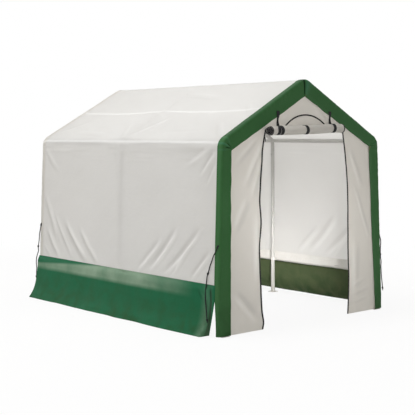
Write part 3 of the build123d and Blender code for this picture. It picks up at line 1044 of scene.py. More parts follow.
@dataclass
class MainCover(SubAssembly):
    """The white sheet over the roof and both side walls, in one piece from pocket to pocket."""

    cell: float = 0.0155
    offset: float = 0.0203
    under_trim: float = 0.014
    roof_sag: float = 0.006
    wall_sag: float = 0.004
    rail_draw: float = 0.0092
    rail_turn: float = 0.08
    rail_clear: float = 0.0006
    rail_slack: float = 0.05
    rail_reach: Place = (0.006, 0.06)
    rib_reach: float = 0.20
    rib_rise: float = 0.0015
    rib_width: float = 0.028
    front_bulge: float = 0.008
    bulge_below_eave: float = 0.040
    bulge_width: float = 0.026
    bulge_span: Place = (0.0, -1.05)
    seam_width: float = 0.016
    seam_rise: float = 0.0022
    rim: Place = (0.015, 0.07)
    fold_gain: float = 1.5
    right_shift: float = 0.02
    ripple_seed: int = 20
    ripple_height: float = 0.0034
    ripple_wander: float = 0.006
    ripple_width: float = 0.009
    ripple_share: float = 0.45
    ripple_heights: tuple[float, ...] = (1.420, 1.396, 1.372, 1.345, 1.31)
    wall_folds: tuple[Fold, ...] = (
        Fold((0.87, 0.74), (0.50, 0.40), 0.021, 0.0085, 0.015),
        Fold((0.64, 0.70), (0.32, 0.385), 0.018, 0.0065, 0.012),
        Fold((1.17, 0.66), (0.95, 0.39), 0.018, 0.0075, 0.010),
        Fold((1.05, 0.80), (0.72, 0.39), 0.016, 0.0060, 0.010),
        Fold((1.22, 0.98), (0.98, 0.55), 0.024, 0.0050),
        Fold((1.22, 0.50), (1.10, 0.39), 0.013, 0.0050),
        Fold((-0.72, 0.76), (-0.38, 0.41), 0.020, 0.0080, -0.015),
        Fold((-1.00, 0.77), (-0.57, 0.39), 0.018, 0.0080, -0.012),
        Fold((-0.86, 0.62), (-0.66, 0.39), 0.014, 0.0055),
        Fold((-1.13, 0.62), (-0.90, 0.385), 0.016, 0.0065),
        Fold((-0.52, 0.66), (-0.22, 0.385), 0.018, 0.0050),
        Fold((-1.17, 1.40), (-0.99, 1.20), 0.016, 0.0055),
        Fold((-1.18, 1.32), (-1.06, 1.12), 0.013, 0.0045),
        Fold((-1.12, 1.43), (-0.80, 1.27), 0.016, 0.0040),
        Fold((1.24, 1.40), (1.02, 1.18), 0.018, 0.0045),
    )
    roof_folds: tuple[Fold, ...] = (
        Fold((-1.16, 0.92), (-0.86, 0.62), 0.022, 0.0035),
        Fold((-1.15, 0.55), (-0.90, 0.30), 0.020, 0.0030),
        Fold((1.22, 0.90), (0.92, 0.60), 0.022, 0.0035),
        Fold((0.02, 0.96), (-0.22, 0.52), 0.024, 0.0035),
        Fold((0.06, 0.96), (0.30, 0.60), 0.022, 0.0030),
        Fold((-0.55, 0.20), (0.15, 0.12), 0.030, 0.0030),
        Fold((0.35, 0.86), (1.05, 0.80), 0.024, 0.0025),
        Fold((-0.30, 0.85), (-0.95, 0.82), 0.022, 0.0025),
    )
    slack: tuple[Slack, ...] = (Slack(3, 0.42, 0.0014, 0.6), Slack(8, 0.13, 0.0005, 0.7))

    def drawn(self, far: Array, low: Array, y: Array) -> Array:
        """How far the sheet lies in from the ribs' rounded line, where it spans from rail to rail.

        Args:
            far: Distance from the ridge.
            low: Share of the way down the wall.
            y: Place along the tunnel.

        Returns:
            The lift, which is negative on the flat runs and about zero over the rails.
        """
        form = self.form
        ridge, _, eave = form.runs
        clear = np.ones(np.broadcast(far, y).shape)
        for rib in form.ribs:
            clear = clear * (1.0 - hump(y, rib, self.rib_reach))
        round_off = form.bend_radius + self.offset
        total = -self.rail_draw * (1.0 - low) ** 5 * clear
        for middle, half in ((0.0, ridge), (form.eave_along, eave / 2)):
            half_angle = half / form.bend_radius
            angle = np.minimum(np.hypot((far - middle) / form.bend_radius, self.rail_turn), half_angle)
            corner = (round_off - self.rail_draw) / np.cos(half_angle - angle) - round_off
            total = np.where(np.abs(far - middle) < half, corner * clear, total)
        return total

    def creases(self, along: Array, y: Array) -> Array:
        """How far the folds and the ripples under the eaves lift the sheet.

        Args:
            along: Distance from the ridge, negative to the left.
            y: Place along the tunnel.

        Returns:
            The lift outwards.
        """
        ridge, slope, eave = self.form.runs
        far = np.abs(along)
        height = self.form.section(along, self.offset)[1]
        wall = ease(far, ridge + slope, ridge + slope + eave)
        mirrored = np.where(along > 0, self.right_shift, 0.0)
        on_roof = lifted(self.roof_folds, y - mirrored, far - ridge)
        on_wall = self.fold_gain * lifted(self.wall_folds, y + mirrored, height)
        for number, place in enumerate(self.ripple_heights):
            wavy = Slack(self.ripple_seed + number, 0.5, 0.55).along(y)
            ripple = self.ripple_height * hump(height, place + self.ripple_wander * wavy, self.ripple_width)
            on_wall = on_wall + ripple * np.clip(self.ripple_share + wavy, 0.0, 1.0)
        return on_wall * wall + on_roof * (1.0 - wall)

    def lift(self, along: Array, y: Array) -> Array:
        """How far the sheet stands off its taut shape.

        Args:
            along: Distance from the ridge, negative to the left.
            y: Place along the tunnel.

        Returns:
            The lift outwards.
        """
        form = self.form
        ridge, slope, eave = form.runs
        far = np.abs(along)
        on_slope = np.clip((far - ridge) / slope, 0.0, 1.0)
        roof = 1.0 - ease(far, ridge + slope, ridge + slope + eave)
        wall = form.along_at(form.pocket_top) - sum(form.runs)
        low = np.clip((far - ridge - slope - eave) / wall, 0.0, 1.0)
        between = np.abs(np.sin(math.pi * (y - form.middle_y) / (form.ribs[1] - form.ribs[0])))
        seam = 1.0 - ease(np.abs(far - ridge - slope / 2), self.seam_width * 0.6, self.seam_width)
        total = self.drawn(far, low, y) - self.roof_sag * np.sin(math.pi * on_slope) ** 0.8 * between**0.7
        total = total - self.wall_sag * np.sin(math.pi * low) * between**2
        total = total + self.rib_rise * hump(y, form.middle_y, self.rib_width) * roof
        total = total + self.seam_rise * seam * roof
        total = total + self.creases(along, y) + lifted(self.slack, y, along)
        bulge = self.front_bulge * hump(far, form.eave_along + self.bulge_below_eave, self.bulge_width)
        total = total + bulge * ease(y, *self.bulge_span)
        for rail in (0.0, form.eave_along):
            below = self.rail_slack * ease(np.abs(far - rail), *self.rail_reach)
            total = np.maximum(total, -self.rail_clear - below)
        start, stop = form.between_trims(-self.under_trim)
        edge, inner = self.rim
        rim = ease(y, start + edge, start + inner) * (1.0 - ease(y, stop - inner, stop - edge))
        return total * rim * (1.0 - ease(low, 0.96, 1.0))

    def build(self) -> None:
        """Builds the sheet."""
        reach = self.form.along_at(self.form.pocket_top)
        start, stop = self.form.between_trims(-self.under_trim)
        along = np.linspace(-reach, reach, round(2 * reach / self.cell))
        y, along = np.meshgrid(np.linspace(start, stop, round((stop - start) / self.cell)), along)
        x, z, _, _ = self.form.section(along, self.offset + self.lift(along, y))
        cloth = Cloth("main_cover", np.dstack([x, y, z]), (0.0, 0.0, 1.0), fold=self.creases(along, y))
        nodes = [f"{side.word}_{part}_sheet" for side in Side for part in ("roof", "wall")]
        cover = cloth.hang("white_sheet", self.finishes("cover"), *nodes)
        cloth.size()


@dataclass
class RailPocket(SubAssembly):
    """The sleeve round a cover rail, hung from the lower edge of the wall."""

    side: Side
    cell: float = 0.016
    turns: int = 30
    rail_points: int = 9
    overlap: float = 0.006
    outer_tuck: float = 0.0008
    inner_tuck: float = 0.001
    trim_gap: float = 0.004
    centre_rise: float = 0.015
    slack: tuple[Slack, ...] = (Slack(31, 0.16, 0.0012, 2.0), Slack(32, 0.5, 0.0015, 1.0))

    def build(self) -> None:
        """Builds the sleeve."""
        form, word = self.form, self.side.word
        rail_out, rail_height, top = form.rail_out, form.rail_height, form.pocket_top
        loop = [(form.wall_x(form.sheet_outer, top) - self.outer_tuck, top + self.overlap)]
        for angle in np.linspace(0.0, math.pi, self.rail_points):
            across, down = form.sheet_outer * math.cos(angle), form.sheet_outer * math.sin(angle)
            loop.append((rail_out + across, rail_height - down))
        loop.append((form.wall_x(form.sheet_inner, top) - self.inner_tuck, top + self.overlap))
        line = smooth_line(loop, self.turns)
        start, stop = form.between_trims(self.trim_gap)
        y = np.linspace(start, stop, round((stop - start) / self.cell))
        y, number = np.meshgrid(y, np.arange(self.turns))
        out, height = line[number, 0], line[number, 1]
        centre = np.dstack([np.full(y.shape, rail_out), y, np.full(y.shape, rail_height + self.centre_rise)])
        lift = lifted(self.slack, y, height) * np.sin(math.pi * number / (self.turns - 1))
        away = np.hypot(out - rail_out, height - rail_height)
        out, height = out + lift * (out - rail_out) / away, height + lift * (height - rail_height) / away
        way = np.array([self.side.value, 1.0, 1.0])
        cloth = Cloth(f"{word}_pocket_sleeve", np.dstack([out, y, height]) * way, centre * way)
        sleeve = cloth.hang("white_sheet", self.finishes("pocket"), f"{word}_rail_pocket")
        cloth.size()


@dataclass
class Skirt(SubAssembly):
    """The loose green skirt below a wall. Its front end turns in to the trim, and its rear end flares."""

    side: Side
    cell: float = 0.0125
    rows: int = 44
    flap_columns: int = 16
    corner_inset: float = 0.125
    flap_end_inset: float = 0.048
    flap_bend: float = 0.42
    flap_pull: float = 0.002
    flap_gap: Place = (0.004, 0.034)
    flap_sweep: float = 0.016
    flap_rise: float = 0.012
    flap_height: float = 0.27
    groove_depth: float = 0.016
    rear_inset: float = 0.005
    rear_flare: float = 0.006
    rear_lip: float = 0.0015
    sewn: Place = (0.385, 0.365)
    hem_clear: float = 0.0015
    hem_wave: float = 0.0012
    lowest: float = 0.0012
    profile: tuple[Place, ...] = (
        (0.387, 0.0018), (0.374, 0.0050), (0.358, 0.0120), (0.335, 0.0168), (0.300, 0.0172), (0.250, 0.0198),
        (0.200, 0.0250), (0.148, 0.0325), (0.100, 0.0440), (0.060, 0.0610), (0.025, 0.0830), (0.003, 0.1000),
    )
    slack: tuple[Slack, ...] = (Slack(41, 0.55, 0.0035, 0.25), Slack(42, 0.20, 0.0012, 0.4))
    hem_slack: Slack = Slack(44, 0.3, 1.0)
    folds: tuple[Fold, ...] = (
        Fold((0.05, 0.374), (-0.13, 0.366), 0.009, -0.0060),
        Fold((-1.02, 0.36), (-1.10, 0.26), 0.014, 0.0030),
        Fold((0.60, 0.14), (0.72, 0.02), 0.040, 0.0010),
        Fold((-0.30, 0.16), (-0.42, 0.02), 0.040, 0.0010),
    )

    def build(self) -> None:
        """Builds the skirt."""
        form, word = self.form, self.side.word
        line = smooth_line(self.profile, self.rows)
        height = line[:, :1]
        front, rear = form.front_face + self.corner_inset, form.rear_face - self.rear_inset
        y = np.linspace(front, rear, round((rear - front) / self.cell))[None, :]
        low = 1.0 - height / self.profile[0][0]
        fixed = ease(height, *self.sewn)
        folds = lifted(self.folds, y, height) * fixed
        lift = lifted(self.slack, y, height) * (0.25 + 0.75 * low) * fixed + folds
        lip = self.rear_lip * ease(y, rear - 0.09, rear - 0.05)
        flare = self.rear_flare * low * ease(y, rear - 0.45, rear) + lip
        out = form.wall_x(form.sheet_outer, height) + line[:, 1:] + lift + flare
        main = np.dstack([out, np.broadcast_to(y, out.shape), np.broadcast_to(height, out.shape)])
        points = np.concatenate([self.flap(main[:, 0])[:, :0:-1], main], axis=1)
        # The fold down the turned-in end goes into the Fold value as a valley, so the finish paints shade
        # along it.
        flap_groove_shade = -0.6 * self.groove(np.linspace(1.0, 0.0, self.flap_columns)[None, :-1], height)
        wave = self.hem_wave * self.hem_slack.along(points[..., 1]) * ease(low, 0.93, 1.0)
        points[..., 2] = np.maximum(points[..., 2] + (self.hem_clear + wave), self.lowest)
        points = points * np.array([self.side.value, 1.0, 1.0])
        fold = np.hstack([flap_groove_shade, folds])
        cloth = Cloth(f"{word}_skirt_sheet", points, (0.0, form.middle_y, 0.2), fold=fold)
        skirt = cloth.hang("green_sheet", self.finishes("skirt", "inner_glow"), f"{word}_skirt")
        cloth.size()

    def lowness(self, height: Array) -> Array:
        """Share of the way down the free part of the turned-in end."""
        return np.clip(1.0 - height / self.flap_height, 0.0, 1.0)

    def groove(self, share: Array, height: Array) -> Array:
        """Depth of the fold that runs down the turned-in end, at shares of its width."""
        deep = self.groove_depth * (0.35 + 0.65 * self.lowness(height)) * ease(height, 0.38, 0.33)
        return deep * hump(share, 0.52 + 0.9 * (0.30 - height), 0.13)

    def flap(self, edge: Array) -> Array:
        """The end of the skirt, turned in from its corner towards the trim.

        Args:
            edge: Points of the corner, from the top down.

        Returns:
            A grid of points, with the corner as its first column.
        """
        share = np.linspace(0.0, 1.0, self.flap_columns)[None, :]
        out, y, height = (edge[:, None, axis] for axis in range(3))
        low = self.lowness(height)
        gap, wider = self.flap_gap
        inner = self.form.wall_x(self.form.sheet_outer, height) + gap + wider * low
        last_y = self.form.front_face + self.flap_end_inset + self.flap_sweep * low**1.3
        bend_y = y + (last_y - y) * self.flap_bend
        first, middle, last = (1 - share) ** 2, 2 * share * (1 - share), share**2
        x = first * out + middle * (out - self.flap_pull) + last * inner - self.groove(share, height)
        along = first * y + middle * bend_y + last * last_y
        up = height + self.flap_rise * low * share**2
        return np.dstack([x, along, up + 0.0 * x])


@dataclass
class GableTrim(SubAssembly):
    """The green edge of a gable: a band on its face that turns round the rib's tube onto the sides."""

    end: End
    round_radius: float = 0.018
    cell: float = 0.0072
    face_columns: int = 22
    round_columns: int = 9
    side_columns: int = 6
    side_reach: float = 0.058
    foot_narrowing: float = 0.030
    narrow_height: float = 0.42
    front_proud: float = 0.0030
    rear_proud: float = 0.0012
    # Depth of painted shade along the rounded outer edge of the roof slopes.
    edge_painted_shade: float = 0.0018
    clearance: float = 0.005
    hem_width: float = 0.013
    hem_rise: float = 0.0013
    hem_wave: float = 0.0016
    edge_lift: float = 0.0014
    pucker: float = 0.0010
    tuck_height: float = 0.0085
    deepest_tuck: float = -0.0020
    deepest_side: float = -0.0004
    pleat_height: float = 0.0075
    pleat_groove: float = 0.0080
    peak_shift: float = -0.014
    corner_shifts: tuple[Place, Place] = ((0.012, -0.014), (-0.034, 0.0))
    foot_shifts: Place = (-0.022, 0.0)
    eave_tucks: tuple[Spot, ...] = (
        (-0.034, 0.6, 0.009), (-0.010, -0.6, 0.006), (0.010, 1.0, 0.008), (0.030, -0.8, 0.008),
        (0.052, 0.5, 0.009),
    )
    tuck_shares: tuple[tuple[Side, float], ...] = ((Side.LEFT, 1.0), (Side.RIGHT, 0.45))

    @property
    def at_front(self) -> bool:
        """Whether this is the front gable's trim, which is green and a little uneven."""
        return self.end is End.FRONT

    def hem(self, x: Array, z: Array, out_x: Array, out_z: Array) -> tuple[Array, Array]:
        """Where lines that go straight in from places on the gable meet the band's inner edge.

        Args:
            x: Places across the gable.
            z: Heights of the places.
            out_x: X of the way out of the tunnel there.
            out_z: Z of the way out of the tunnel there.

        Returns:
            X and Z of the points on the edge.
        """
        form = self.form
        right = x > 0.0
        uneven = 1.0 if self.at_front else 0.0
        corner_x, corner_z, peak_z = form.trim_edge
        left_shift, right_shift = self.corner_shifts
        corner_x = corner_x + np.where(right, right_shift[0] * uneven, left_shift[0] * uneven)
        corner_z = corner_z + np.where(right, right_shift[1] * uneven, left_shift[1] * uneven)
        foot_x = form.wall_x(form.sheet_outer - form.trim_width, 0.0)
        foot_x = foot_x + uneven * np.where(right, *self.foot_shifts[::-1])
        middle = self.peak_shift * uneven
        far, out = np.abs(x), np.abs(out_x)
        inner = np.where(right, middle, -middle)
        fall = (peak_z - corner_z) / (corner_x - inner)
        reach = (z - peak_z + fall * (far - inner)) / (out_z + fall * out)
        slope_x = np.clip(far - reach * out, inner, corner_x)
        lean = (foot_x - corner_x) / corner_z
        reach = (far - foot_x + lean * z) / (out + lean * out_z)
        wall_z = np.minimum(z - reach * out_z, corner_z)
        on_slope = slope_x < corner_x
        hem_x = np.where(on_slope, slope_x, foot_x - lean * wall_z)
        return np.where(right, hem_x, -hem_x), np.where(on_slope, peak_z - fall * (slope_x - inner), wall_z)

    def grid(self, line: Array) -> tuple[Array, ...]:
        """The band before it is lifted, from its inner hem to its edge on the side.

        Args:
            line: Distances from the ridge along the tube line, as a column.

        Returns:
            X, depth behind the face and Z of the points, the shares of a lift that go off the face and off
            the side, and the points' distances from the hem and from the start of the turn.
        """
        form, radius = self.form, self.round_radius
        outer = form.sheet_outer + (self.front_proud if self.at_front else self.rear_proud)
        rim_x, rim_z, out_x, out_z = form.section(line, outer - radius)
        hem_x, hem_z = self.hem(rim_x, rim_z, out_x, out_z)
        width = np.hypot(rim_x - hem_x, rim_z - hem_z)
        share = np.linspace(0.0, 1.0, self.face_columns)[None, :]
        turn = np.linspace(0.0, math.pi / 2, self.round_columns + 2)[None, 1:-1]
        narrow = self.foot_narrowing * (1.0 - ease(rim_z, 0.0, self.narrow_height)) if self.at_front else 0.0
        side = np.linspace(radius, self.side_reach, self.side_columns)[None, :]
        side = side - narrow * np.linspace(0.0, 1.0, self.side_columns)
        flat, column = side[:1] * 0.0, 0.0 * width
        offsets = np.hstack([outer - radius * (1 - np.sin(turn)), flat + outer])
        side_x, side_z, _, _ = form.section(line, offsets)
        x = np.hstack([hem_x + (rim_x - hem_x) * share, side_x])
        z = np.hstack([hem_z + (rim_z - hem_z) * share, side_z])
        back = np.hstack([share * 0.0 + column, radius * (1 - np.cos(turn)) + column, side + column])
        off_face = np.hstack([share * 0.0 + 1.0, np.cos(turn), flat])
        off_side = np.hstack([share * 0.0, np.sin(turn), flat + 1.0])
        on_side = side + radius * (math.pi / 2 - 1) + column
        past_turn = np.hstack([width * (share - 1.0), radius * turn + column, on_side])
        return x, back, z, off_face, off_side, past_turn + width, past_turn

    def lift(self, along: Array, hem: Array, past_turn: Array) -> Array:
        """How far hem, puckers, tucks and slack lift the band.

        Args:
            along: Distance from the ridge, negative to the left.
            hem: Distance across the band from its inner hem.
            past_turn: Distance across the band from the start of its turn.

        Returns:
            The lift.
        """
        seed = 50 if self.at_front else 70
        fold = self.hem_rise * (1.0 - ease(hem, self.hem_width * 0.85, self.hem_width))
        inner = self.edge_lift * (1.0 + Slack(seed, 0.34, 1.0).along(along)) * (1.0 - ease(hem, 0.0, 0.045))
        fine = Slack(seed + 1, 0.055, 1.0, waves=15).lift(along, hem * 0.25)
        pucker = self.pucker * fine * hump(past_turn, 0.0, 0.020)
        slack = Slack(seed + 2, 0.28, 0.0011, 1.6).lift(along, hem)
        tucks = np.maximum(self.tucks(along, hem), self.deepest_tuck)
        total = fold + inner + pucker + slack + tucks * (1.0 - 0.7 * ease(past_turn, 0.0, 0.028))
        on_side = ease(past_turn, 0.006, 0.030)
        return total * (1.0 - on_side) + np.maximum(0.45 * total, self.deepest_side) * on_side

    def tucks(self, along: Array, hem: Array) -> Array:
        """The gathered folds where the band turns the eaves and the ridge.

        Args:
            along: Distance from the ridge, negative to the left.
            hem: Distance across the band from its inner hem.

        Returns:
            The lift of the folds.
        """
        grow, hollow = ease(hem, 0.012, 0.075), 0.75 * hump(hem, 0.05, 0.028)
        total = np.zeros(np.broadcast(along, hem).shape)
        for side, share in self.tuck_shares:
            for place, height, width in self.eave_tucks:
                ridge = hump(along * side.value, self.form.eave_along + place, width)
                total = total + share * self.tuck_height * height * ridge * (grow if height > 0.0 else hollow)
        pleat = ease(along, -0.010, -0.003) * (1.0 - ease(along, 0.0, 0.11))
        groove = hump(along, -0.013, 0.008)
        return total + (self.pleat_height * pleat - self.pleat_groove * groove) * ease(hem, 0.004, 0.03)

    def build(self) -> None:
        """Builds the trim."""
        form, word = self.form, self.end.word
        reach = form.along_at(self.clearance)
        line = np.linspace(-reach, reach, round(2 * reach / self.cell))[:, None]
        x, back, z, off_face, off_side, hem, past_turn = self.grid(line)
        lift = self.lift(line, hem, past_turn)
        _, _, out_x, out_z = form.section(line, 0.0)
        wave = self.hem_wave * Slack(90 + self.end.value, 0.17, 1.0).along(line)
        wave = wave * (1.0 - ease(hem, 0.0, 0.06))
        side_lift = wave + lift * off_side
        x = x + side_lift * out_x
        y = form.face(self.end) + self.end.value * (back - lift * off_face)
        z = np.maximum(z + side_lift * out_z, self.clearance - 0.001)
        on_slope = 1.0 - ease(np.abs(line), form.eave_along - 0.06, form.eave_along)
        cloth = Cloth(
            f"{word}_trim_band",
            np.dstack([x, y, z]),
            (0.0, form.middle_y, 0.9),
            0.0014,
            np.dstack([np.broadcast_to(line, x.shape), hem]),
            # The Fold value dips along the slopes' rounded outer edge, so the finish paints shade there.
            self.tucks(line, hem) - self.edge_painted_shade * hump(past_turn, 0.034, 0.030) * on_slope,
        )
        slot = "green_sheet" if self.at_front else "white_sheet"
        finishes = self.finishes("trim", "inner_glow") if self.at_front else self.finishes("white")
        trim = cloth.hang(slot, finishes, f"{word}_trim")
        cloth.area()


# Gables


def sew_patches(
    name: str, patches: Sequence[Array], inside: Sequence[float], fold: Callable[..., Array], thickness: float
) -> Piece:
    """A flat sheet made of several grids of points that meet edge to edge.

    Args:
        name: Name of the piece.
        patches: Grids of points.
        inside: A point behind the sheet.
        fold: How far the sheet is folded out at places across and up it.
        thickness: Thickness of the cloth, which lies behind the given points.

    Returns:
        The new object, measured across and up for its UV map.
    """
    firsts = np.cumsum([0, *(patch.shape[0] * patch.shape[1] for patch in patches)])
    faces = np.vstack([quads(patch, inside, first) for patch, first in zip(patches, firsts)])
    points = np.vstack([patch.reshape(-1, 3) for patch in patches])
    piece = new_piece(name, points, faces, points[:, [0, 2]])
    with edited(piece):
        bpy.ops.mesh.select_all(action="SELECT")
        bpy.ops.mesh.remove_doubles(threshold=0.0004)
    places = np.array([vertex.co for vertex in piece.data.vertices])
    thicken(piece, thickness, fold(places[:, 0], places[:, 2]))
    return piece


def swept_tube(name: str, path: Array, radius: float, sides: int = 12, braid: float = 0.0) -> Piece:
    """A closed round tube along a path.

    Args:
        name: Name of the piece.
        path: Points of the centre line.
        radius: Radius of the tube.
        sides: How many points go round it.
        braid: Share of the radius that crossing strands stand proud.

    Returns:
        The new object, measured along and round for its UV map.
    """
    start, strand_pitch = (0.31, 0.87, 0.38), 0.012
    way = unit(np.gradient(path, axis=0))
    across = [unit(np.cross(way[0], start))]
    for direction in way[1:]:
        across.append(unit(across[-1] - direction * np.dot(across[-1], direction)))
    across = np.array(across)
    other = np.cross(way, across)
    travelled = measured(np.linalg.norm(np.diff(path, axis=0), axis=1))[:, None]
    angle = np.linspace(0.0, 2 * math.pi, sides + 1)[None, :-1]
    twist = travelled * 2 * math.pi / strand_pitch
    size = radius * (1.0 + braid * np.sin(3 * angle + twist) * np.sin(3 * angle - twist))
    ring = across[:, None] * np.cos(angle)[..., None] + other[:, None] * np.sin(angle)[..., None]
    points = (path[:, None] + ring * size[..., None]).reshape(-1, 3)
    flat = np.dstack([travelled + 0.0 * angle, angle * np.mean(size) + 0.0 * travelled])
    number = np.arange(len(points)).reshape(-1, sides)
    after = np.roll(number, -1, axis=1)
    sleeve = np.dstack([number[:-1], after[:-1], after[1:], number[1:]]).reshape(-1, 4).tolist()
    caps = [number[0, ::-1].tolist(), number[-1].tolist()]
    piece = new_piece(name, points, sleeve + caps, flat.reshape(-1, 2))
    shade(piece, 60.0)
    return piece


@dataclass
class GableSheet(SubAssembly):
    """The white sheet of a gable. The front one is open at the door, and both have a half-moon vent."""

    end: End
    cell: float = 0.0105
    thickness: float = 0.0010
    behind_trim: float = 0.0042
    edge_offset: float = 0.0025
    edge_inset: float = 0.004
    column_gap: float = 0.004
    bottom: float = 0.0045
    door_head: float = 1.556
    wing_columns: int = 44
    top_rows: int = 30
    vent_base: float = 1.578
    vent_half_width: float = 0.255
    vent_rise: float = 0.105
    vent_columns: int = 52
    net_inset: float = 0.004
    net_pillow: float = 0.0035
    net_behind: float = 0.0012
    binding_radius: float = 0.0056
    binding_proud: float = 0.0022
    fold_gain: float = 1.5
    left_edge: tuple[Place, ...] = (
        (0.000, 0.494), (0.064, 0.483), (0.160, 0.500), (0.356, 0.512), (0.551, 0.517), (0.668, 0.518),
        (0.822, 0.503), (1.017, 0.518), (1.250, 0.497), (1.444, 0.479), (1.556, 0.452),
    )
    right_edge: tuple[Place, ...] = (
        (0.000, 0.502), (0.160, 0.514), (0.317, 0.521), (0.541, 0.511), (0.761, 0.511), (1.096, 0.505),
        (1.324, 0.482), (1.444, 0.464), (1.556, 0.446),
    )
    folds: tuple[Fold, ...] = (
        Fold((-0.50, 1.47), (-0.70, 1.12), 0.024, 0.0065),
        Fold((-0.51, 1.36), (-0.62, 1.02), 0.020, 0.0050),
        Fold((-0.54, 1.52), (-0.80, 1.30), 0.018, 0.0045),
        Fold((-0.66, 1.05), (-0.82, 0.78), 0.026, 0.0050),
        Fold((-0.55, 0.92), (-0.57, 0.35), 0.030, 0.0050),
        Fold((-0.80, 0.30), (-0.56, 0.06), 0.024, 0.0055),
        Fold((0.58, 1.10), (0.80, 0.58), 0.015, 0.0055),
        Fold((0.52, 1.40), (0.70, 1.02), 0.020, 0.0045),
        Fold((0.60, 0.62), (0.58, 0.10), 0.028, 0.0045),
        Fold((0.74, 0.30), (0.55, 0.24), 0.012, 0.0030),
        Fold((0.80, 0.22), (0.55, 0.17), 0.012, 0.0030),
        Fold((0.78, 0.14), (0.55, 0.10), 0.012, 0.0030),
        Fold((-0.30, 1.62), (-0.10, 1.80), 0.018, 0.0030),
        Fold((0.32, 1.62), (0.12, 1.78), 0.018, 0.0030),
    )
    slack: tuple[Slack, ...] = (Slack(101, 0.34, 0.0020, 0.5), Slack(102, 0.11, 0.0006, 0.8))

    def covered(self, x: Array, z: Array) -> Array:
        """Share by which a place is free of the trim.

        Args:
            x: Places across the gable.
            z: Their heights.

        Returns:
            0 under the trim, 1 well inside it.
        """
        corner_x, corner_z, peak_z = self.form.trim_edge
        wall = self.form.wall_x(self.form.sheet_outer - self.form.trim_width, z) - np.abs(x)
        slope = (peak_z - (peak_z - corner_z) * np.abs(x) / corner_x - z) * math.cos(self.form.pitch)
        return ease(np.minimum(wall, slope), -0.013, 0.06)

    def fold(self, x: Array, z: Array) -> Array:
        """How far the folds lift the sheet at a place."""
        return self.fold_gain * lifted(self.folds, x, z) * self.covered(x, z)

    def surface_y(self, x: Array, z: Array) -> Array:
        """Where the sheet's outer face lies along Y, folds included."""
        lift = self.fold(x, z) + lifted(self.slack, x, z) * self.covered(x, z)
        return self.form.face(self.end) + self.end.value * (self.behind_trim - lift)

    def edge_x(self, side: Side, z: Array) -> Array:
        """Place of the door's edge at a height."""
        line = smooth_line(self.left_edge if side is Side.LEFT else self.right_edge, 200)
        return side.value * np.interp(z, line[:, 0], line[:, 1])

    def vent_line(self, x: Array) -> Array:
        """Height of the vent's upper edge, or of its base outside the vent.

        Args:
            x: Places across the gable.

        Returns:
            The heights.
        """
        radius = (self.vent_half_width**2 + self.vent_rise**2) / (2 * self.vent_rise)
        arc = self.vent_base + self.vent_rise - radius + np.sqrt(np.maximum(radius**2 - x**2, 0.0))
        return np.where(np.abs(x) < self.vent_half_width, np.maximum(arc, self.vent_base), self.vent_base)

    def hung(self, x: Array, z: Array) -> Array:
        """Puts places across and up the gable onto the sheet."""
        return np.dstack([x, self.surface_y(x, z), z])

    def raised(self, inner: Callable[[Array], Array], share: Array, way: int, head: float) -> Array:
        """The sheet from the ground up to a height or to the roof's slope.

        Args:
            inner: How far out the sheet starts at a height.
            share: Shares of the way from there to the gable's outline.
            way: Which way across they go.
            head: The height.

        Returns:
            A grid of points.
        """
        rise = np.linspace(self.bottom, head, round(head / self.cell))[:, None]
        outer = self.form.wall_x(self.edge_offset, np.minimum(rise, self.form.eave_height)) - self.edge_inset
        x = way * (inner(rise) + (outer - inner(rise)) * share)
        top = np.minimum(head, self.form.slope_z(self.edge_offset, x))
        return self.hung(x, self.bottom + (rise - self.bottom) * (top - self.bottom) / (head - self.bottom))

    def wing(self, side: Side) -> Array:
        """The part of the sheet beside the door, from its zip to the gable's outline."""
        share = np.linspace(0.0, 1.0, self.wing_columns)[None, :]
        return self.raised(lambda rise: np.abs(self.edge_x(side, rise)), share, side.value, self.door_head)

    def above(self, x: Array) -> Array:
        """The sheet from the vent's line up to the gable's outline.

        Args:
            x: Places of the columns.

        Returns:
            A grid of points.
        """
        share = np.linspace(0.0, 1.0, self.top_rows)[:, None]
        low = self.vent_line(x)[None, :]
        along = np.linspace(-1.0, 1.0, 801) * self.form.eave_along
        line_x, line_z, _, _ = self.form.section(along, self.edge_offset)
        high = np.maximum(np.interp(x, line_x, line_z)[None, :], low + 0.0006)
        z = low + (high - low) * share
        return self.hung(np.broadcast_to(x[None, :], z.shape), z)

    def patches(self) -> list[Array]:
        """The grids that make up the sheet.

        Returns:
            Grids of points that meet edge to edge.
        """
        above_base = self.form.slope_z(self.edge_offset, 0.0) - self.vent_base - self.edge_inset
        limit = above_base / math.tan(self.form.pitch)
        vent = np.linspace(-self.vent_half_width, self.vent_half_width, self.vent_columns)
        beside = self.vent_half_width + self.column_gap
        if self.end is End.REAR:
            share = np.linspace(-1.0, 1.0, round(1.8 / self.cell))[None, :]
            lower = self.raised(np.zeros_like, share, 1, self.vent_base)
            outer = lower[-1, :, 0]
            kept = outer[(np.abs(outer) < limit) & (np.abs(outer) > beside)]
            return [lower, self.above(np.sort(np.concatenate([kept, vent])))]
        wings = [self.wing(side) for side in Side]
        tops = np.concatenate([wing[-1, :, 0] for wing in wings])
        door = np.linspace(tops[tops < 0].max(), tops[tops > 0].min(), 72)[1:-1]
        door = door[np.abs(door) > beside]
        x = np.sort(np.concatenate([tops[np.abs(tops) < limit], door, vent]))
        x_grid, z_grid = np.meshgrid(x, np.linspace(self.door_head, self.vent_base, 4))
        return [*wings, self.hung(x_grid, z_grid), self.above(x)]

    def build(self) -> None:
        """Builds the sheet."""
        word = self.end.word
        patches = self.patches()
        inside = (0.0, self.form.middle_y, 1.0)
        piece = sew_patches(f"{word}_gable_cloth", patches, inside, self.fold, self.thickness)
        wings = [f"front_{side.word}_wing" for side in Side] if self.end is End.FRONT else []
        settle(piece, "white_sheet", self.finishes("white", "white"), f"{word}_gable_sheet", *wings)
        area = sum(Cloth("", patch, inside).area() for patch in patches)

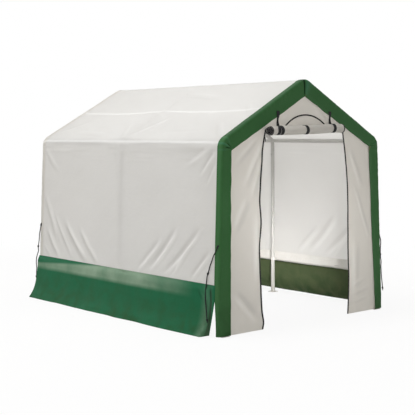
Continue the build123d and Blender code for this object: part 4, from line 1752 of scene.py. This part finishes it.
    def build_vent(self) -> None:
        """Builds the vent's net and the bound edge along its arc."""
        word, way = self.end.word, self.end.value
        half = self.vent_half_width - self.net_inset
        share = np.linspace(0.0, 1.0, 16)[:, None]
        x = np.linspace(-half, half, 56)[None, :]
        top = np.maximum(self.vent_line(x) - 0.002, self.vent_base + 0.0012)
        z = self.vent_base + 0.0004 + (top - self.vent_base) * share
        x = np.broadcast_to(x, z.shape)
        pillow = self.net_pillow * np.sin(math.pi * share) * (1.0 - (x / half) ** 2)
        y = self.surface_y(x, z) - way * (pillow - self.net_behind)
        cloth = Cloth(f"{word}_vent_net", np.dstack([x, y, z]), (0.0, self.form.middle_y, 1.6), 0.0009)
        net = cloth.hang("vent_net", self.finishes("net"), "vent_flaps")
        cloth.size()
        cloth.area()
        x = np.linspace(-self.vent_half_width, self.vent_half_width, 72)
        z = self.vent_line(x)
        path = np.column_stack([x, self.surface_y(x, z) - way * self.binding_proud, z])
        binding = swept_tube(f"{word}_vent_binding", path, self.binding_radius)
        settle(binding, "black_webbing", self.finishes("webbing"), "vent_pipings")


# Small rigid pieces, modelled in edit mode


def primitive(kind: str, **values: object) -> Piece:
    """Adds a primitive with nothing else selected, to be shaped in edit mode.

    Args:
        kind: The primitive.
        **values: Its size and place.

    Returns:
        The new object.
    """
    bpy.ops.object.select_all(action="DESELECT")
    getattr(bpy.ops.mesh, f"primitive_{kind}_add")(**values)
    return bpy.context.active_object


def pick(piece: Piece, test: Callable[[bmesh.types.BMFace], bool]) -> None:
    """Selects, in edit mode, only the faces that pass a test.

    Args:
        piece: The piece in edit mode.
        test: Says whether a face is selected.
    """
    bpy.ops.mesh.select_all(action="DESELECT")
    shape = bmesh.from_edit_mesh(piece.data)
    shape.normal_update()
    for face in shape.faces:
        face.select_set(test(face))
    bmesh.update_edit_mesh(piece.data)


def on_top(face: bmesh.types.BMFace) -> bool:
    """Whether a face looks up."""
    return face.normal.z > 0.9


def step_up(piece: Piece, thickness: float, rise: float, above: float = -1.0) -> None:
    """Insets the faces on top of a piece, above a height, and lifts them.

    Args:
        piece: The piece in edit mode.
        thickness: Width of the step.
        rise: Height of the step.
        above: Where the faces have to be.
    """
    pick(piece, lambda face: on_top(face) and face.calc_center_median().z > above)
    bpy.ops.mesh.inset(thickness=thickness)
    bpy.ops.transform.translate(value=(0.0, 0.0, rise))


def lay_copies(name: str, original: Piece, places: Sequence[Matrix]) -> Piece:
    """Copies of a modelled piece, each with its own mesh, joined into one object.

    Args:
        name: Name of the joined piece.
        original: The piece to copy, which is removed.
        places: Where each copy goes.

    Returns:
        The joined object.
    """
    count = len(original.data.vertices)
    points = np.zeros(count * 3)
    original.data.vertices.foreach_get("co", points)
    points = np.column_stack([points.reshape(-1, 3), np.ones(count)])
    faces = [list(face.vertices) for face in original.data.polygons]
    laid = np.vstack([(points @ np.array(place).T)[:, :3] for place in places])
    firsts = range(0, count * len(places), count)
    numbered = [[corner + first for corner in face] for first in firsts for face in faces]
    piece = new_piece(name, laid, numbered)
    bpy.data.objects.remove(original)
    shade(piece, 35.0)
    return piece


def facing(place: Sequence[float], out: Sequence[float], up: Sequence[float] = (0.0, 0.0, 1.0)) -> Matrix:
    """A matrix that puts a piece modelled on +Z at a place, facing a way.

    Args:
        place: Where the piece's origin goes.
        out: The way that its +Z points.
        up: A second way, which its +Y follows as far as it can.

    Returns:
        The matrix.
    """
    z = Vector(out).normalized()
    x = Vector(up).cross(z).normalized()
    turned = Matrix((x, z.cross(x), z)).transposed().to_4x4()
    return Matrix.Translation(Vector(place)) @ turned


@dataclass
class DoorZips(SubAssembly):
    """The zips along the door's edges: tape, coil and a slider with its pull on each."""

    gable: GableSheet
    tape_width: float = 0.0135
    tape_proud: float = 0.0012
    tape_thickness: float = 0.0010
    tape_rows: int = 170
    tooth_pitch: float = 0.0048
    tooth_proud: float = 0.0020
    tooth_size: Spot = (0.0052, 0.0024, 0.0022)
    slider_height: float = 1.500
    slider_proud: float = 0.003
    slider_size: Spot = (0.010, 0.013, 0.005)
    pull_place: Spot = (0.0, -0.0165, 0.0048)
    pull_size: Spot = (0.0062, 0.026, 0.0018)

    def build(self) -> None:
        """Builds both zips."""
        for side in Side:
            self.tape(side)
        heights = np.arange(self.gable.bottom + 0.006, self.gable.door_head - 0.05, self.tooth_pitch)
        teeth = [self.on_edge(side, float(height), self.tooth_proud) for side in Side for height in heights]
        sliders = [self.on_edge(side, self.slider_height, self.slider_proud) for side in Side]
        for part, make, places in (("coil", self.tooth, teeth), ("sliders", self.slider, sliders)):
            piece = lay_copies(f"door_zip_{part}", make(), places)
            settle(piece, "black_webbing", self.finishes("teeth"))

    def on_edge(self, side: Side, height: float, proud: float) -> Matrix:
        """A place on the door's edge, facing forwards.

        Args:
            side: Which side of the door.
            height: Height of the place.
            proud: Distance off the sheet.

        Returns:
            The matrix that puts a piece there.
        """
        z = np.array([height])
        x = self.gable.edge_x(side, z)
        return facing((float(x[0]), float(self.gable.surface_y(x, z)[0]) - proud, height), FORWARDS)

    def tape(self, side: Side) -> None:
        """Builds the woven tape of the zip on one side of the door.

        Args:
            side: Which side of the door.
        """
        z = np.linspace(self.gable.bottom + 0.002, self.gable.door_head - 0.006, self.tape_rows)[:, None]
        x = self.gable.edge_x(side, z) + side.value * self.tape_width * np.linspace(-0.12, 1.0, 6)[None, :]
        z = np.broadcast_to(z, x.shape)
        grid = np.dstack([x, self.gable.surface_y(x, z) - self.tape_proud, z])
        cloth = Cloth(f"{side.word}_zip_tape", grid, (0.0, 0.0, 1.0), self.tape_thickness)
        cloth.hang("black_webbing", self.finishes("webbing"), "door_zips")

    def tooth(self) -> Piece:
        """One turn of the coil: a rounded bar across the edge.

        Returns:
            The bar.
        """
        tooth = primitive("cube", size=1.0)
        with edited(tooth):
            bpy.ops.mesh.select_all(action="SELECT")
            bpy.ops.transform.resize(value=self.tooth_size)
            pick(tooth, on_top)
            bpy.ops.transform.resize(value=(0.7, 0.55, 1.0))
            pick(tooth, lambda face: face.normal.x > 0.5)
            bpy.ops.mesh.extrude_region_move(TRANSFORM_OT_translate={"value": (0.0009, 0.0, 0.0)})
            bpy.ops.transform.resize(value=(1.0, 0.6, 0.6))
        return tooth

    def slider(self) -> Piece:
        """A slider body with its bridge and a hanging pull.

        Returns:
            The slider.
        """
        slider = primitive("cube", size=1.0)
        with edited(slider):
            bpy.ops.mesh.select_all(action="SELECT")
            bpy.ops.transform.resize(value=self.slider_size)
            pick(slider, lambda face: face.normal.y < -0.9)
            bpy.ops.transform.resize(value=(0.62, 1.0, 1.0))
            pick(slider, on_top)
            bpy.ops.mesh.inset(thickness=0.0026)
            bpy.ops.mesh.extrude_region_move(TRANSFORM_OT_translate={"value": (0.0, 0.0, 0.0022)})
            bpy.ops.mesh.primitive_cube_add(size=1.0, location=self.pull_place)
            bpy.ops.transform.resize(value=self.pull_size)
            pick(slider, lambda face: face.normal.y < -0.9 and face.calc_center_median().y < -0.02)
            bpy.ops.transform.resize(value=(1.5, 1.0, 1.0))
            bpy.ops.mesh.select_all(action="SELECT")
            bpy.ops.mesh.bevel(offset=0.0006, segments=2, affect="EDGES")
        return slider


# Rolled door


@dataclass
class RolledDoor(SubAssembly):
    """The door rolled up over its opening, with its zip edges at the ends, in four straps."""

    gable: GableSheet
    radius: float = 0.0385
    core_radius: float = 0.0095
    core_slip: float = 0.052
    turns: float = 10.4
    steps_per_turn: int = 34
    columns: int = 66
    thickness: float = 0.0008
    slack_shift: Spot = (0.0, -0.0045, -0.0050)
    outer_ends: Place = (-0.455, 0.393)
    tilt: Place = (0.005, 0.016)
    sag: float = 0.0045
    unevenness: float = 0.030
    strap_width: float = 0.0330
    strap_thickness: float = 0.0016
    strap_gap: float = 0.0006
    strap_skew: float = 0.004
    pinch: float = 0.085
    pinch_width: float = 0.024
    hung_straps: Place = (-0.382, 0.266)
    plain_straps: Place = (-0.056, -0.342)
    tail_places: Place = (-0.322, 0.288)
    tail_top: float = 1.713
    tail_steps: int = 26
    band_proud: float = 0.0062

    @property
    def centre(self) -> Vector:
        """Middle of the roll, a little down and out from the gable for the sheet's own slack."""
        return sum(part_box("rolled_door"), Vector()) / 2 + Vector(self.slack_shift)

    @property
    def half_length(self) -> float:
        """Half the roll's length."""
        low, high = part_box("rolled_door")
        return (high.x - low.x) / 2

    def squeeze(self, x: Array) -> Array:
        """How much of the roll's radius is kept.

        Args:
            x: Places across the door.

        Returns:
            The share, which is less in the straps.
        """
        kept = 1.0 - 0.02 * ease(np.abs(x), self.half_length - 0.05, self.half_length)
        for place in (*self.hung_straps, *self.plain_straps):
            kept = kept - self.pinch * hump(x, place, self.pinch_width)
        return kept

    def drop(self, x: Array) -> Array:
        """How far the roll hangs down between its straps and at its ends.

        Args:
            x: Places across the door.

        Returns:
            The drop, with the roll's tilt in it.
        """
        low, high = self.hung_straps
        between = np.clip((x - low) / (high - low), 0.0, 1.0)
        ends = np.maximum(np.abs(x) - high, 0.0) / (self.half_length - high)
        tilt = self.tilt[0] - self.tilt[1] * ease(x, *self.outer_ends)
        return self.sag * np.sin(math.pi * between) + 1.2 * self.sag * ends**1.5 + tilt

    def build(self) -> None:
        """Builds the straps and the roll."""
        for place, tail in zip(self.hung_straps, self.tail_places):
            self.strap(place, tail)
        for place in self.plain_straps:
            self.strap(place)
        self.roll()

    def roll(self) -> None:
        """Winds the door's sheet from its foot to the outside of the roll."""
        centre, count = self.centre, round(self.turns * self.steps_per_turn)
        turn = np.linspace(0.0, 2 * math.pi * self.turns, count)[:, None]
        x = np.linspace(*self.outer_ends, self.columns)[None, :]
        share = turn / turn.max()
        radius = self.core_radius + (self.radius - self.core_radius) * share
        uneven = 1.0 + self.unevenness * Slack(121, 0.16, 1.0, 0.35).lift(x, turn) * share**2
        radius = radius * np.minimum(uneven, 1.0 + self.unevenness) * self.squeeze(x)
        angle = turn - turn.max()
        shift = 0.003 * Slack(122, 1.4, 1.0).along(turn * 0.05) * (1.0 - 0.7 * share)
        shift = shift - self.core_slip * (1.0 - share)
        middle_z = centre.z - self.drop(x)
        y, z = centre.y + radius * np.cos(angle), middle_z + radius * np.sin(angle)
        across = np.broadcast_to(x + shift, y.shape)
        inside = np.dstack([across, np.full(y.shape, centre.y), np.broadcast_to(middle_z, y.shape)])
        cloth = Cloth("rolled_door_sheet", np.dstack([across, y, z]), inside, self.thickness)
        finishes = self.finishes("white", "white", "webbing", "webbing")
        roll = cloth.hang("white_sheet", finishes, "rolled_door")
        for number, face in enumerate(roll.data.polygons):
            if number % (self.columns - 1) in (0, self.columns - 2):
                face.material_index = 2
        cloth.size()

    def strap(self, place: float, tail_place: float | None = None) -> None:
        """Builds a webbing strap round the roll. A hung one goes on up the gable to the trim.

        Args:
            place: Where the strap is across the door.
            tail_place: Where the tail of a hung strap ends.
        """
        centre, here = self.centre, np.array([place])
        middle_z = centre.z - float(self.drop(here)[0])
        radius = self.radius * float(self.squeeze(here)[0]) + self.strap_thickness + self.strap_gap
        first = 0.12 * math.pi
        turn = np.linspace(first, first - 2 * math.pi, 52)
        line = np.column_stack([centre.y + radius * np.cos(turn), middle_z + radius * np.sin(turn)])
        end_y, end_z = line[-1]
        side, word, lean = (Side.LEFT if place < 0.0 else Side.RIGHT), "plain", 0.0
        if tail_place is None:
            line = np.vstack([line, (end_y - 0.0012, end_z + 0.0155)])
        else:
            word, lean = "hung", tail_place - place
            sheet_y = float(self.gable.surface_y(here, np.array([middle_z + 0.07]))[0])
            band_y = self.form.front_face - self.band_proud
            tail = [
                (end_y - 0.001, end_z + 0.004),
                (sheet_y - 0.006, middle_z + 0.045),
                (sheet_y - 0.004, middle_z + 0.075),
                (band_y - 0.001, self.tail_top - 0.028),
                (band_y, self.tail_top),
            ]
            line = np.vstack([line, smooth_line(tail, self.tail_steps)])
        narrow = 1.0 - 0.45 * hump(line[:, 1:], middle_z + 0.085, 0.03)
        skew = self.strap_skew * np.sin(np.linspace(0.0, 5.0, len(line)))[:, None]
        past = np.arange(len(line))[:, None]
        share = np.linspace(-0.5, 0.5, 5)[None, :]
        x = place + lean * ease(past, 30, 54) + skew + self.strap_width * share * narrow
        y, z = (np.broadcast_to(line[:, axis : axis + 1], x.shape) for axis in range(2))
        above = z > middle_z + 0.05
        inside = np.dstack([x, np.where(above, 0.0, centre.y), np.where(above, z, middle_z)])
        name = "middle_plain_strap" if abs(place) < 0.1 else f"{side.word}_{word}_strap"
        cloth = Cloth(name, np.dstack([x, y, z]), inside, self.strap_thickness)
        cloth.hang("black_webbing", self.finishes("webbing"), "roll_straps")


# Corner cords


@dataclass
class CornerCords(SubAssembly):
    """The black cord at each corner of the cover, with its sewn tab and stopper knot."""

    diameter: float = 0.008
    braid: float = 0.10
    knot_size: float = 0.0076
    knot_strand: float = 0.46
    tail_length: float = 0.018
    middle_tail_length: float = 0.001
    middle_knot_height: float = 0.478
    tab_width: float = 0.014
    tab_thickness: float = 0.0012
    tab_bend: tuple[Place, ...] = (
        (0.0030, -0.004), (0.0042, 0.002), (0.0030, 0.012), (0.0004, 0.026), (-0.0016, 0.020),
        (-0.0034, 0.010), (-0.0030, -0.002),
    )
    skirt_length: float = 0.574
    front_edge_length: float = 0.488
    rear_edge_length: float = 0.478
    skirt_route: tuple[Spot, ...] = (
        (0.9452, 0.030, 0.672), (0.9470, 0.048, 0.640), (0.9492, 0.072, 0.606), (0.9506, 0.086, 0.570),
        (0.9522, 0.106, 0.530), (0.9540, 0.118, 0.490), (0.9562, 0.136, 0.450), (0.9590, 0.136, 0.412),
        (0.9626, 0.140, 0.372), (0.9650, 0.144, 0.332), (0.9690, 0.141, 0.292), (0.9795, 0.126, 0.242),
        (0.9900, 0.105, 0.192), (1.0050, 0.082, 0.138),
    )
    front_edge_route: tuple[Spot, ...] = (
        (0.9449, 0.020, 0.668), (0.9472, 0.013, 0.632), (0.9570, 0.008, 0.598), (0.9575, 0.009, 0.562),
        (0.9525, 0.009, 0.526), (0.9520, 0.009, 0.487), (0.9540, 0.009, 0.448), (0.9610, 0.007, 0.411),
        (0.9590, 0.009, 0.373), (0.9610, 0.008, 0.330), (0.9660, 0.009, 0.281), (0.9720, 0.008, 0.233),
        (0.9790, 0.008, 0.184),
    )
    rear_edge_route: tuple[Spot, ...] = (
        (0.9449, 0.020, 0.668), (0.9476, 0.013, 0.630), (0.9525, 0.006, 0.588), (0.9515, 0.001, 0.545),
        (0.9540, -0.003, 0.504), (0.9610, -0.005, 0.466), (0.9560, -0.003, 0.430), (0.9700, -0.006, 0.392),
        (0.9800, -0.007, 0.352), (0.9820, -0.005, 0.312), (0.9770, -0.004, 0.272), (0.9790, -0.006, 0.232),
        (0.9800, -0.005, 0.196),
    )

    def build(self) -> None:
        """Builds the four cords."""
        self.corner(End.FRONT, Side.LEFT, self.skirt_route, self.skirt_length)
        self.corner(End.FRONT, Side.RIGHT, self.front_edge_route, self.front_edge_length)
        for side in Side:
            self.corner(End.REAR, side, self.rear_edge_route, self.rear_edge_length)

    def centre_line(self, name: str, points: Sequence[Vector]) -> Array:
        """Points read from the route's smooth spline.

        Args:
            name: Name of the cord.
            points: The spline's control points.

        Returns:
            The centre line, from the tab to the knot.
        """
        curve = bpy.data.curves.new(f"{name}_line", "CURVE")
        curve.dimensions = "3D"
        curve.resolution_u = 24
        spline = curve.splines.new("NURBS")
        spline.points.add(len(points) - 1)
        for point, place in zip(spline.points, points):
            point.co = (*place, 1.0)
        spline.order_u = 3
        spline.use_endpoint_u = True
        holder = bpy.data.objects.new(f"{name}_line", curve)
        bpy.context.scene.collection.objects.link(holder)
        bpy.context.view_layer.update()
        mesh = bpy.data.meshes.new_from_object(holder.evaluated_get(bpy.context.evaluated_depsgraph_get()))
        line = np.array([vertex.co[:] for vertex in mesh.vertices])
        bpy.data.objects.remove(holder)
        bpy.data.curves.remove(curve)
        bpy.data.meshes.remove(mesh)
        return line

    def corner(self, end: End, side: Side, route: Sequence[Spot], length: float) -> None:
        """Builds the cord of one corner, with its knots and its tab.

        Args:
            end: Which gable.
            side: Which long side.
            route: Distance out, distance in from the gable's face and height of the cord's points.
            length: The cord's length.
        """
        name, face = f"{end.word}_{side.word}", self.form.face(end)
        points = [Vector((side.value * x, face + end.value * back, z)) for x, back, z in route]
        line = self.centre_line(name, points)
        cord = swept_tube(f"{name}_tie_cord", line, self.diameter / 2, braid=self.braid)
        settle(cord, "black_cord", self.finishes("cord"), f"{name}_cord")
        knot = self.knot(f"{name}_tie_knot", line[-1], line[-1] - line[-2], self.tail_length, "cord_knots")
        half = int(np.argmin(np.abs(line[:, 2] - self.middle_knot_height)))
        self.knot(f"{name}_middle_knot", line[half], line[half + 1] - line[half], self.middle_tail_length)
        start = np.array(points[0])
        self.tab(f"{name}_tie_tab", start, unit(start - np.array(points[1])), side)

    def knot(self, name: str, start: Array, down: Array, tail_length: float, *nodes: str) -> Piece:
        """An overhand knot with a tail under it.

        Args:
            name: Name of the piece.
            start: Where the cord runs into the knot.
            down: The way that the cord hangs.
            tail_length: Length of the tail.
            *nodes: Names of the nodes that the knot replaces.

        Returns:
            The knot.
        """
        down, size = unit(down), self.knot_size
        turn = np.linspace(0.35, 2 * math.pi - 0.35, 70)
        across = np.sin(turn) + 2 * np.sin(2 * turn)
        flat = np.column_stack([across, np.cos(turn) - 2 * np.cos(2 * turn), -np.sin(3 * turn)]) / 3
        aside = unit(np.cross(down, (0.0, 1.0, 0.2)))
        other = np.cross(down, aside)
        middle = start + down * size * 1.05
        loop = middle + size * (flat[:, :1] * aside + 0.7 * flat[:, 2:] * other - flat[:, 1:2] * down)
        tail = middle + down * np.linspace(0.9 * size, size + tail_length, 12)[:, None]
        path = smooth_line(np.vstack([start - down * 0.001, loop[::3], tail[::3]]), 110)
        knot = swept_tube(name, path, self.diameter * self.knot_strand, 10, self.braid)
        return settle(knot, "black_cord", self.finishes("cord"), *nodes)

    def tab(self, name: str, start: Array, up: Array, side: Side) -> None:
        """Builds the folded webbing tab that a cord hangs from, sewn to the edge of the trim.

        Args:
            name: Name of the piece.
            start: Where the cord starts.
            up: The way back up the cord.
            side: Which long side.
        """
        out = np.array([side.value, 0.0, 0.0])
        bend = smooth_line(self.tab_bend, 26)
        share = np.linspace(-0.5, 0.5, 5)[None, :, None]
        middle = start + bend[:, :1] * out + bend[:, 1:] * up
        grid = middle[:, None, :] + share * self.tab_width * np.cross(up, out)
        cloth = Cloth(name, grid, start + up * 0.008, self.tab_thickness)
        cloth.hang("black_cord", self.finishes("webbing"), "cord_loops")


# Tube frame


@dataclass
class FrameDress(SubAssembly):
    """Finishes of the tube frame, with its screws, snap buttons and swaged joints."""

    frame_nodes: dict[str, Piece]
    tube_radius: float = 0.0175
    screw_reach: float = 0.138
    joint_height: float = 0.910
    button_rise: float = 0.022
    flange_size: Place = (0.0072, 0.0014)
    head_size: Place = (0.0052, 0.0042)
    button_size: Place = (0.0042, 0.0024)
    swage_depth: float = 0.010
    swage_swell: float = 1.035
    swage_wall: float = 0.0006
    dressed: tuple[tuple[str, str], ...] = (
        ("_leg", "steel"), ("_rafter", "steel"), ("_rail", "steel"), ("_fittings", "fitting"),
        ("foot_plates", "fitting"), ("rail_saddles", "plastic"),
    )

    def build(self) -> None:
        """Dresses the tubes and adds the small pieces."""
        for name, node in self.frame_nodes.items():
            for ending, finish in self.dressed:
                if name.endswith(ending):
                    node.data.materials.clear()
                    node.data.materials.append(self.palette[finish])
        legs = [(side.value, rib) for rib in self.form.ribs for side in Side]
        span, height = self.form.half_span, self.joint_height
        joints = [Matrix.Translation((way * span, rib, height)) for way, rib in legs]
        span, height = span - self.tube_radius, height + self.button_rise
        buttons = [facing((way * span, rib, height), (-way, 0.0, 0.0), ALONG) for way, rib in legs]
        for name, make, places, slot, finish in (
            ("frame_screws", self.screw, self.screw_places(), "fitting_steel", "plated"),
            ("leg_swages", self.swage, joints, "frame_steel", "steel"),
            ("leg_buttons", self.button, buttons, "fitting_steel", "plated"),
        ):
            settle(lay_copies(name, make(), places), slot, self.finishes(finish))

    def screw(self) -> Piece:
        """A hexagon screw with a round flange.

        Returns:
            The screw.
        """
        radius, depth = self.flange_size
        screw = primitive("cylinder", vertices=18, radius=radius, depth=depth, location=(0.0, 0.0, 0.0004))
        radius, depth = self.head_size
        with edited(screw):
            step_up(screw, 0.0012, 0.0003)
            place = (0.0, 0.0, 0.0031)
            bpy.ops.mesh.primitive_cylinder_add(vertices=6, radius=radius, depth=depth, location=place)
            step_up(screw, 0.0008, 0.0005, 0.004)
        return screw

    def screw_places(self) -> list[Matrix]:
        """Where the screws hold the tubes on the fittings' spigots.

        Returns:
            A matrix for each screw.
        """
        form = self.form
        slope = Vector((-math.cos(form.pitch), 0.0, math.sin(form.pitch)))
        under = Vector((-math.sin(form.pitch), 0.0, -math.cos(form.pitch)))
        places = []
        for rib in form.ribs:
            eave = Vector((form.half_span, rib, form.eave_height))
            peak = Vector((0.0, rib, form.peak_height))
            spots = (
                (eave - Vector((0.0, 0.0, self.screw_reach)), Vector((-1.0, 0.0, 0.0))),
                (eave + slope * self.screw_reach, under),
                (peak - slope * self.screw_reach, under),
            )
            for side in Side:
                way = Vector((side.value, 1.0, 1.0))
                for spot, out in spots:
                    places.append(facing((spot + out * self.tube_radius) * way, out * way, ALONG))
        return places

    def swage(self) -> Piece:
        """The rolled ring where the two lengths of a leg join.

        Returns:
            The ring.
        """
        size = {"radius": self.tube_radius + 0.0001, "depth": self.swage_depth}
        ring = primitive("cylinder", vertices=40, end_fill_type="NOTHING", **size)
        with edited(ring):
            bpy.ops.mesh.select_all(action="SELECT")
            bpy.ops.mesh.subdivide(number_cuts=4)
            pick(ring, lambda face: abs(face.calc_center_median().z) < 0.0025)
            bpy.ops.transform.resize(value=(self.swage_swell, self.swage_swell, 1.0))
        finish_with(ring, "SOLIDIFY", thickness=self.swage_wall, offset=0.0)
        return ring

    def button(self) -> Piece:
        """A domed snap button.

        Returns:
            The button.
        """
        radius, depth = self.button_size
        button = primitive("cylinder", vertices=18, radius=radius, depth=depth, location=(0.0, 0.0, 0.0006))
        with edited(button):
            step_up(button, 0.0011, 0.0009)
            step_up(button, 0.0013, 0.0004)
        return button


# Studio


@dataclass(frozen=True)
class Softbox:
    """A rectangular lamp: where it hangs, what it faces, its size, power and colour, and its grid's angle."""

    name: str
    place: Spot
    aim: Spot
    size: Place
    watts: float
    tint: Colour
    spread_degrees: float = 180.0

    def build(self) -> None:
        """Hangs the lamp."""
        data = bpy.data.lights.new(self.name, "AREA")
        data.spread = math.radians(self.spread_degrees)
        data.shape = "RECTANGLE"
        data.size, data.size_y = self.size
        data.energy = self.watts
        data.color = self.tint
        lamp = bpy.data.objects.new(self.name, data)
        lamp.location = self.place
        lamp.rotation_euler = (Vector(self.aim) - Vector(self.place)).to_track_quat("-Z", "Y").to_euler()
        bpy.context.scene.collection.objects.link(lamp)


@dataclass
class Studio:
    """Floor, soft light, white surround and the camera at the photograph's viewing angle."""

    camera_place: Spot = (-5.900, -6.735, 1.545)
    yaw_degrees: float = 40.30
    roll_degrees: float = -0.18
    focal_pixels: float = 986.0
    axis_pixel: Place = (190.0, 132.3)
    image_pixels: float = 415.0
    sensor: float = 36.0
    clip_end: float = 200.0
    floor_size: float = 60.0
    floor_colour: Colour = (0.82, 0.815, 0.80)
    floor_white_shares: Place = (0.90, 1.0)
    floor_fade: Place = (2.2, 5.5)
    surround: float = 0.46
    surround_colour: Colour = (1.0, 0.978, 0.952)
    lamps: tuple[Softbox, ...] = (
        Softbox("overhead_softbox", (0.4, 0.0, 6.2), (0.2, 0.0, 0.8), (4.0, 6.0), 90.0, FULL_WHITE),
        Softbox("left_strip", (-2.9, -0.2, 6.0), (-0.6, 0.0, 1.0), (1.4, 4.0), 185.0, (0.985, 0.995, 1.0)),
        Softbox("rear_softbox", (-5.0, 6.2, 2.6), (-1.0, 0.2, 0.3), (6.0, 2.4), 105.0, (1.0, 0.99, 0.98)),
        Softbox("right_softbox", (6.5, 0.8, 3.0), (0.9, 0.0, 0.9), (6.0, 4.0), 125.0, (1.0, 0.985, 0.965)),
        Softbox("front_fill", (-2.5, -8.5, 3.4), (0.0, -1.0, 0.8), (5.0, 4.0), 44.0, (1.0, 0.945, 0.89)),
        Softbox("door_beam", (-5.2, -7.5, 3.2), (0.93, 0.0, 0.35), (0.6, 0.6), 2.4, (1.0, 0.975, 0.95), 8.0),
    )

    def build(self) -> None:
        """Sets up the view transform, floor, world, lamps and camera."""
        bpy.context.scene.view_settings.view_transform = "Standard"
        self.floor()
        self.world()
        for lamp in self.lamps:
            lamp.build()
        self.camera()

    def floor(self) -> None:
        """A wide pale floor that looks white and still takes the shadow."""
        floor = primitive("plane", size=self.floor_size, location=(0.0, 0.0, -0.0005))
        floor.name = "studio_floor"
        material = bpy.data.materials.new("pale_floor")
        material.use_nodes = True
        graph = Graph(material.node_tree)
        matt = graph.dress({"Base Color": self.floor_colour, "Roughness": 0.9, "Specular IOR Level": 0.1})
        glow = graph.add("Emission", {"Color": FULL_WHITE, "Strength": 1.0}).outputs[0]
        radius = graph.add("VectorMath", {0: graph.coordinates()}, operation="LENGTH").outputs["Value"]
        white = graph.span(radius, *self.floor_fade, *self.floor_white_shares)
        graph.mix_out(graph.calc("MULTIPLY", graph.seen(), white), matt, glow)
        floor.data.materials.append(material)

    def world(self) -> None:
        """An even surround that lights the object softly and shows white behind it."""
        world = bpy.data.worlds.new("white_surround")
        world.use_nodes = True
        bpy.context.scene.world = world
        graph = Graph(world.node_tree)
        inputs = {"Color": self.surround_colour, "Strength": self.surround}
        soft = graph.fill(world.node_tree.nodes["Background"], inputs)
        white = graph.add("Background", {"Color": FULL_WHITE, "Strength": 1.0})
        graph.mix_out(graph.seen(), soft.outputs[0], white.outputs[0], "World Output")

    def camera(self) -> None:
        """The camera, level, with its frame shifted as the photograph's is."""
        data = bpy.data.cameras.new("photo_camera")
        data.sensor_width = self.sensor
        data.sensor_fit = "HORIZONTAL"
        data.lens = self.focal_pixels * self.sensor / self.image_pixels
        data.shift_x = (self.image_pixels / 2 - self.axis_pixel[0]) / self.image_pixels
        data.shift_y = (self.axis_pixel[1] - self.image_pixels / 2) / self.image_pixels
        data.clip_end = self.clip_end
        yaw, roll = math.radians(self.yaw_degrees), math.radians(self.roll_degrees)
        forward = Vector((math.sin(yaw), math.cos(yaw), 0.0))
        level = Vector((math.cos(yaw), -math.sin(yaw), 0.0))
        right = level * math.cos(roll) + Vector((0.0, 0.0, math.sin(roll)))
        camera = bpy.data.objects.new("photo_camera", data)
        turned = Matrix((right, right.cross(forward), -forward)).transposed().to_4x4()
        camera.matrix_world = Matrix.Translation(Vector(self.camera_place)) @ turned
        bpy.context.scene.collection.objects.link(camera)
        bpy.context.scene.camera = camera


def write_sizes() -> None:
    """Updates the view layer.
    """
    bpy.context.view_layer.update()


def main() -> None:
    """Loads the frame, builds every sub-assembly in order and reports each piece."""
    logging.basicConfig(level=logging.INFO, format="%(name)s: %(message)s")
    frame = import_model()
    form = TunnelForm.from_frame()
    SharedEffects().build()
    palette = {part: finish.material() for part, finish in FINISHES.items()}
    Studio().build()
    CornerCords(form, palette).build()
    MainCover(form, palette).build()
    for side in Side:
        RailPocket(form, palette, side).build()
        Skirt(form, palette, side).build()
    gables = {end: GableSheet(form, palette, end) for end in End}
    for end, gable in gables.items():
        GableTrim(form, palette, end).build()
        gable.build()
        gable.build_vent()
    DoorZips(form, palette, gables[End.FRONT]).build()
    RolledDoor(form, palette, gables[End.FRONT]).build()
    FrameDress(form, palette, frame["nodes"]).build()
    write_sizes()


if __name__ == "__main__":
    main()
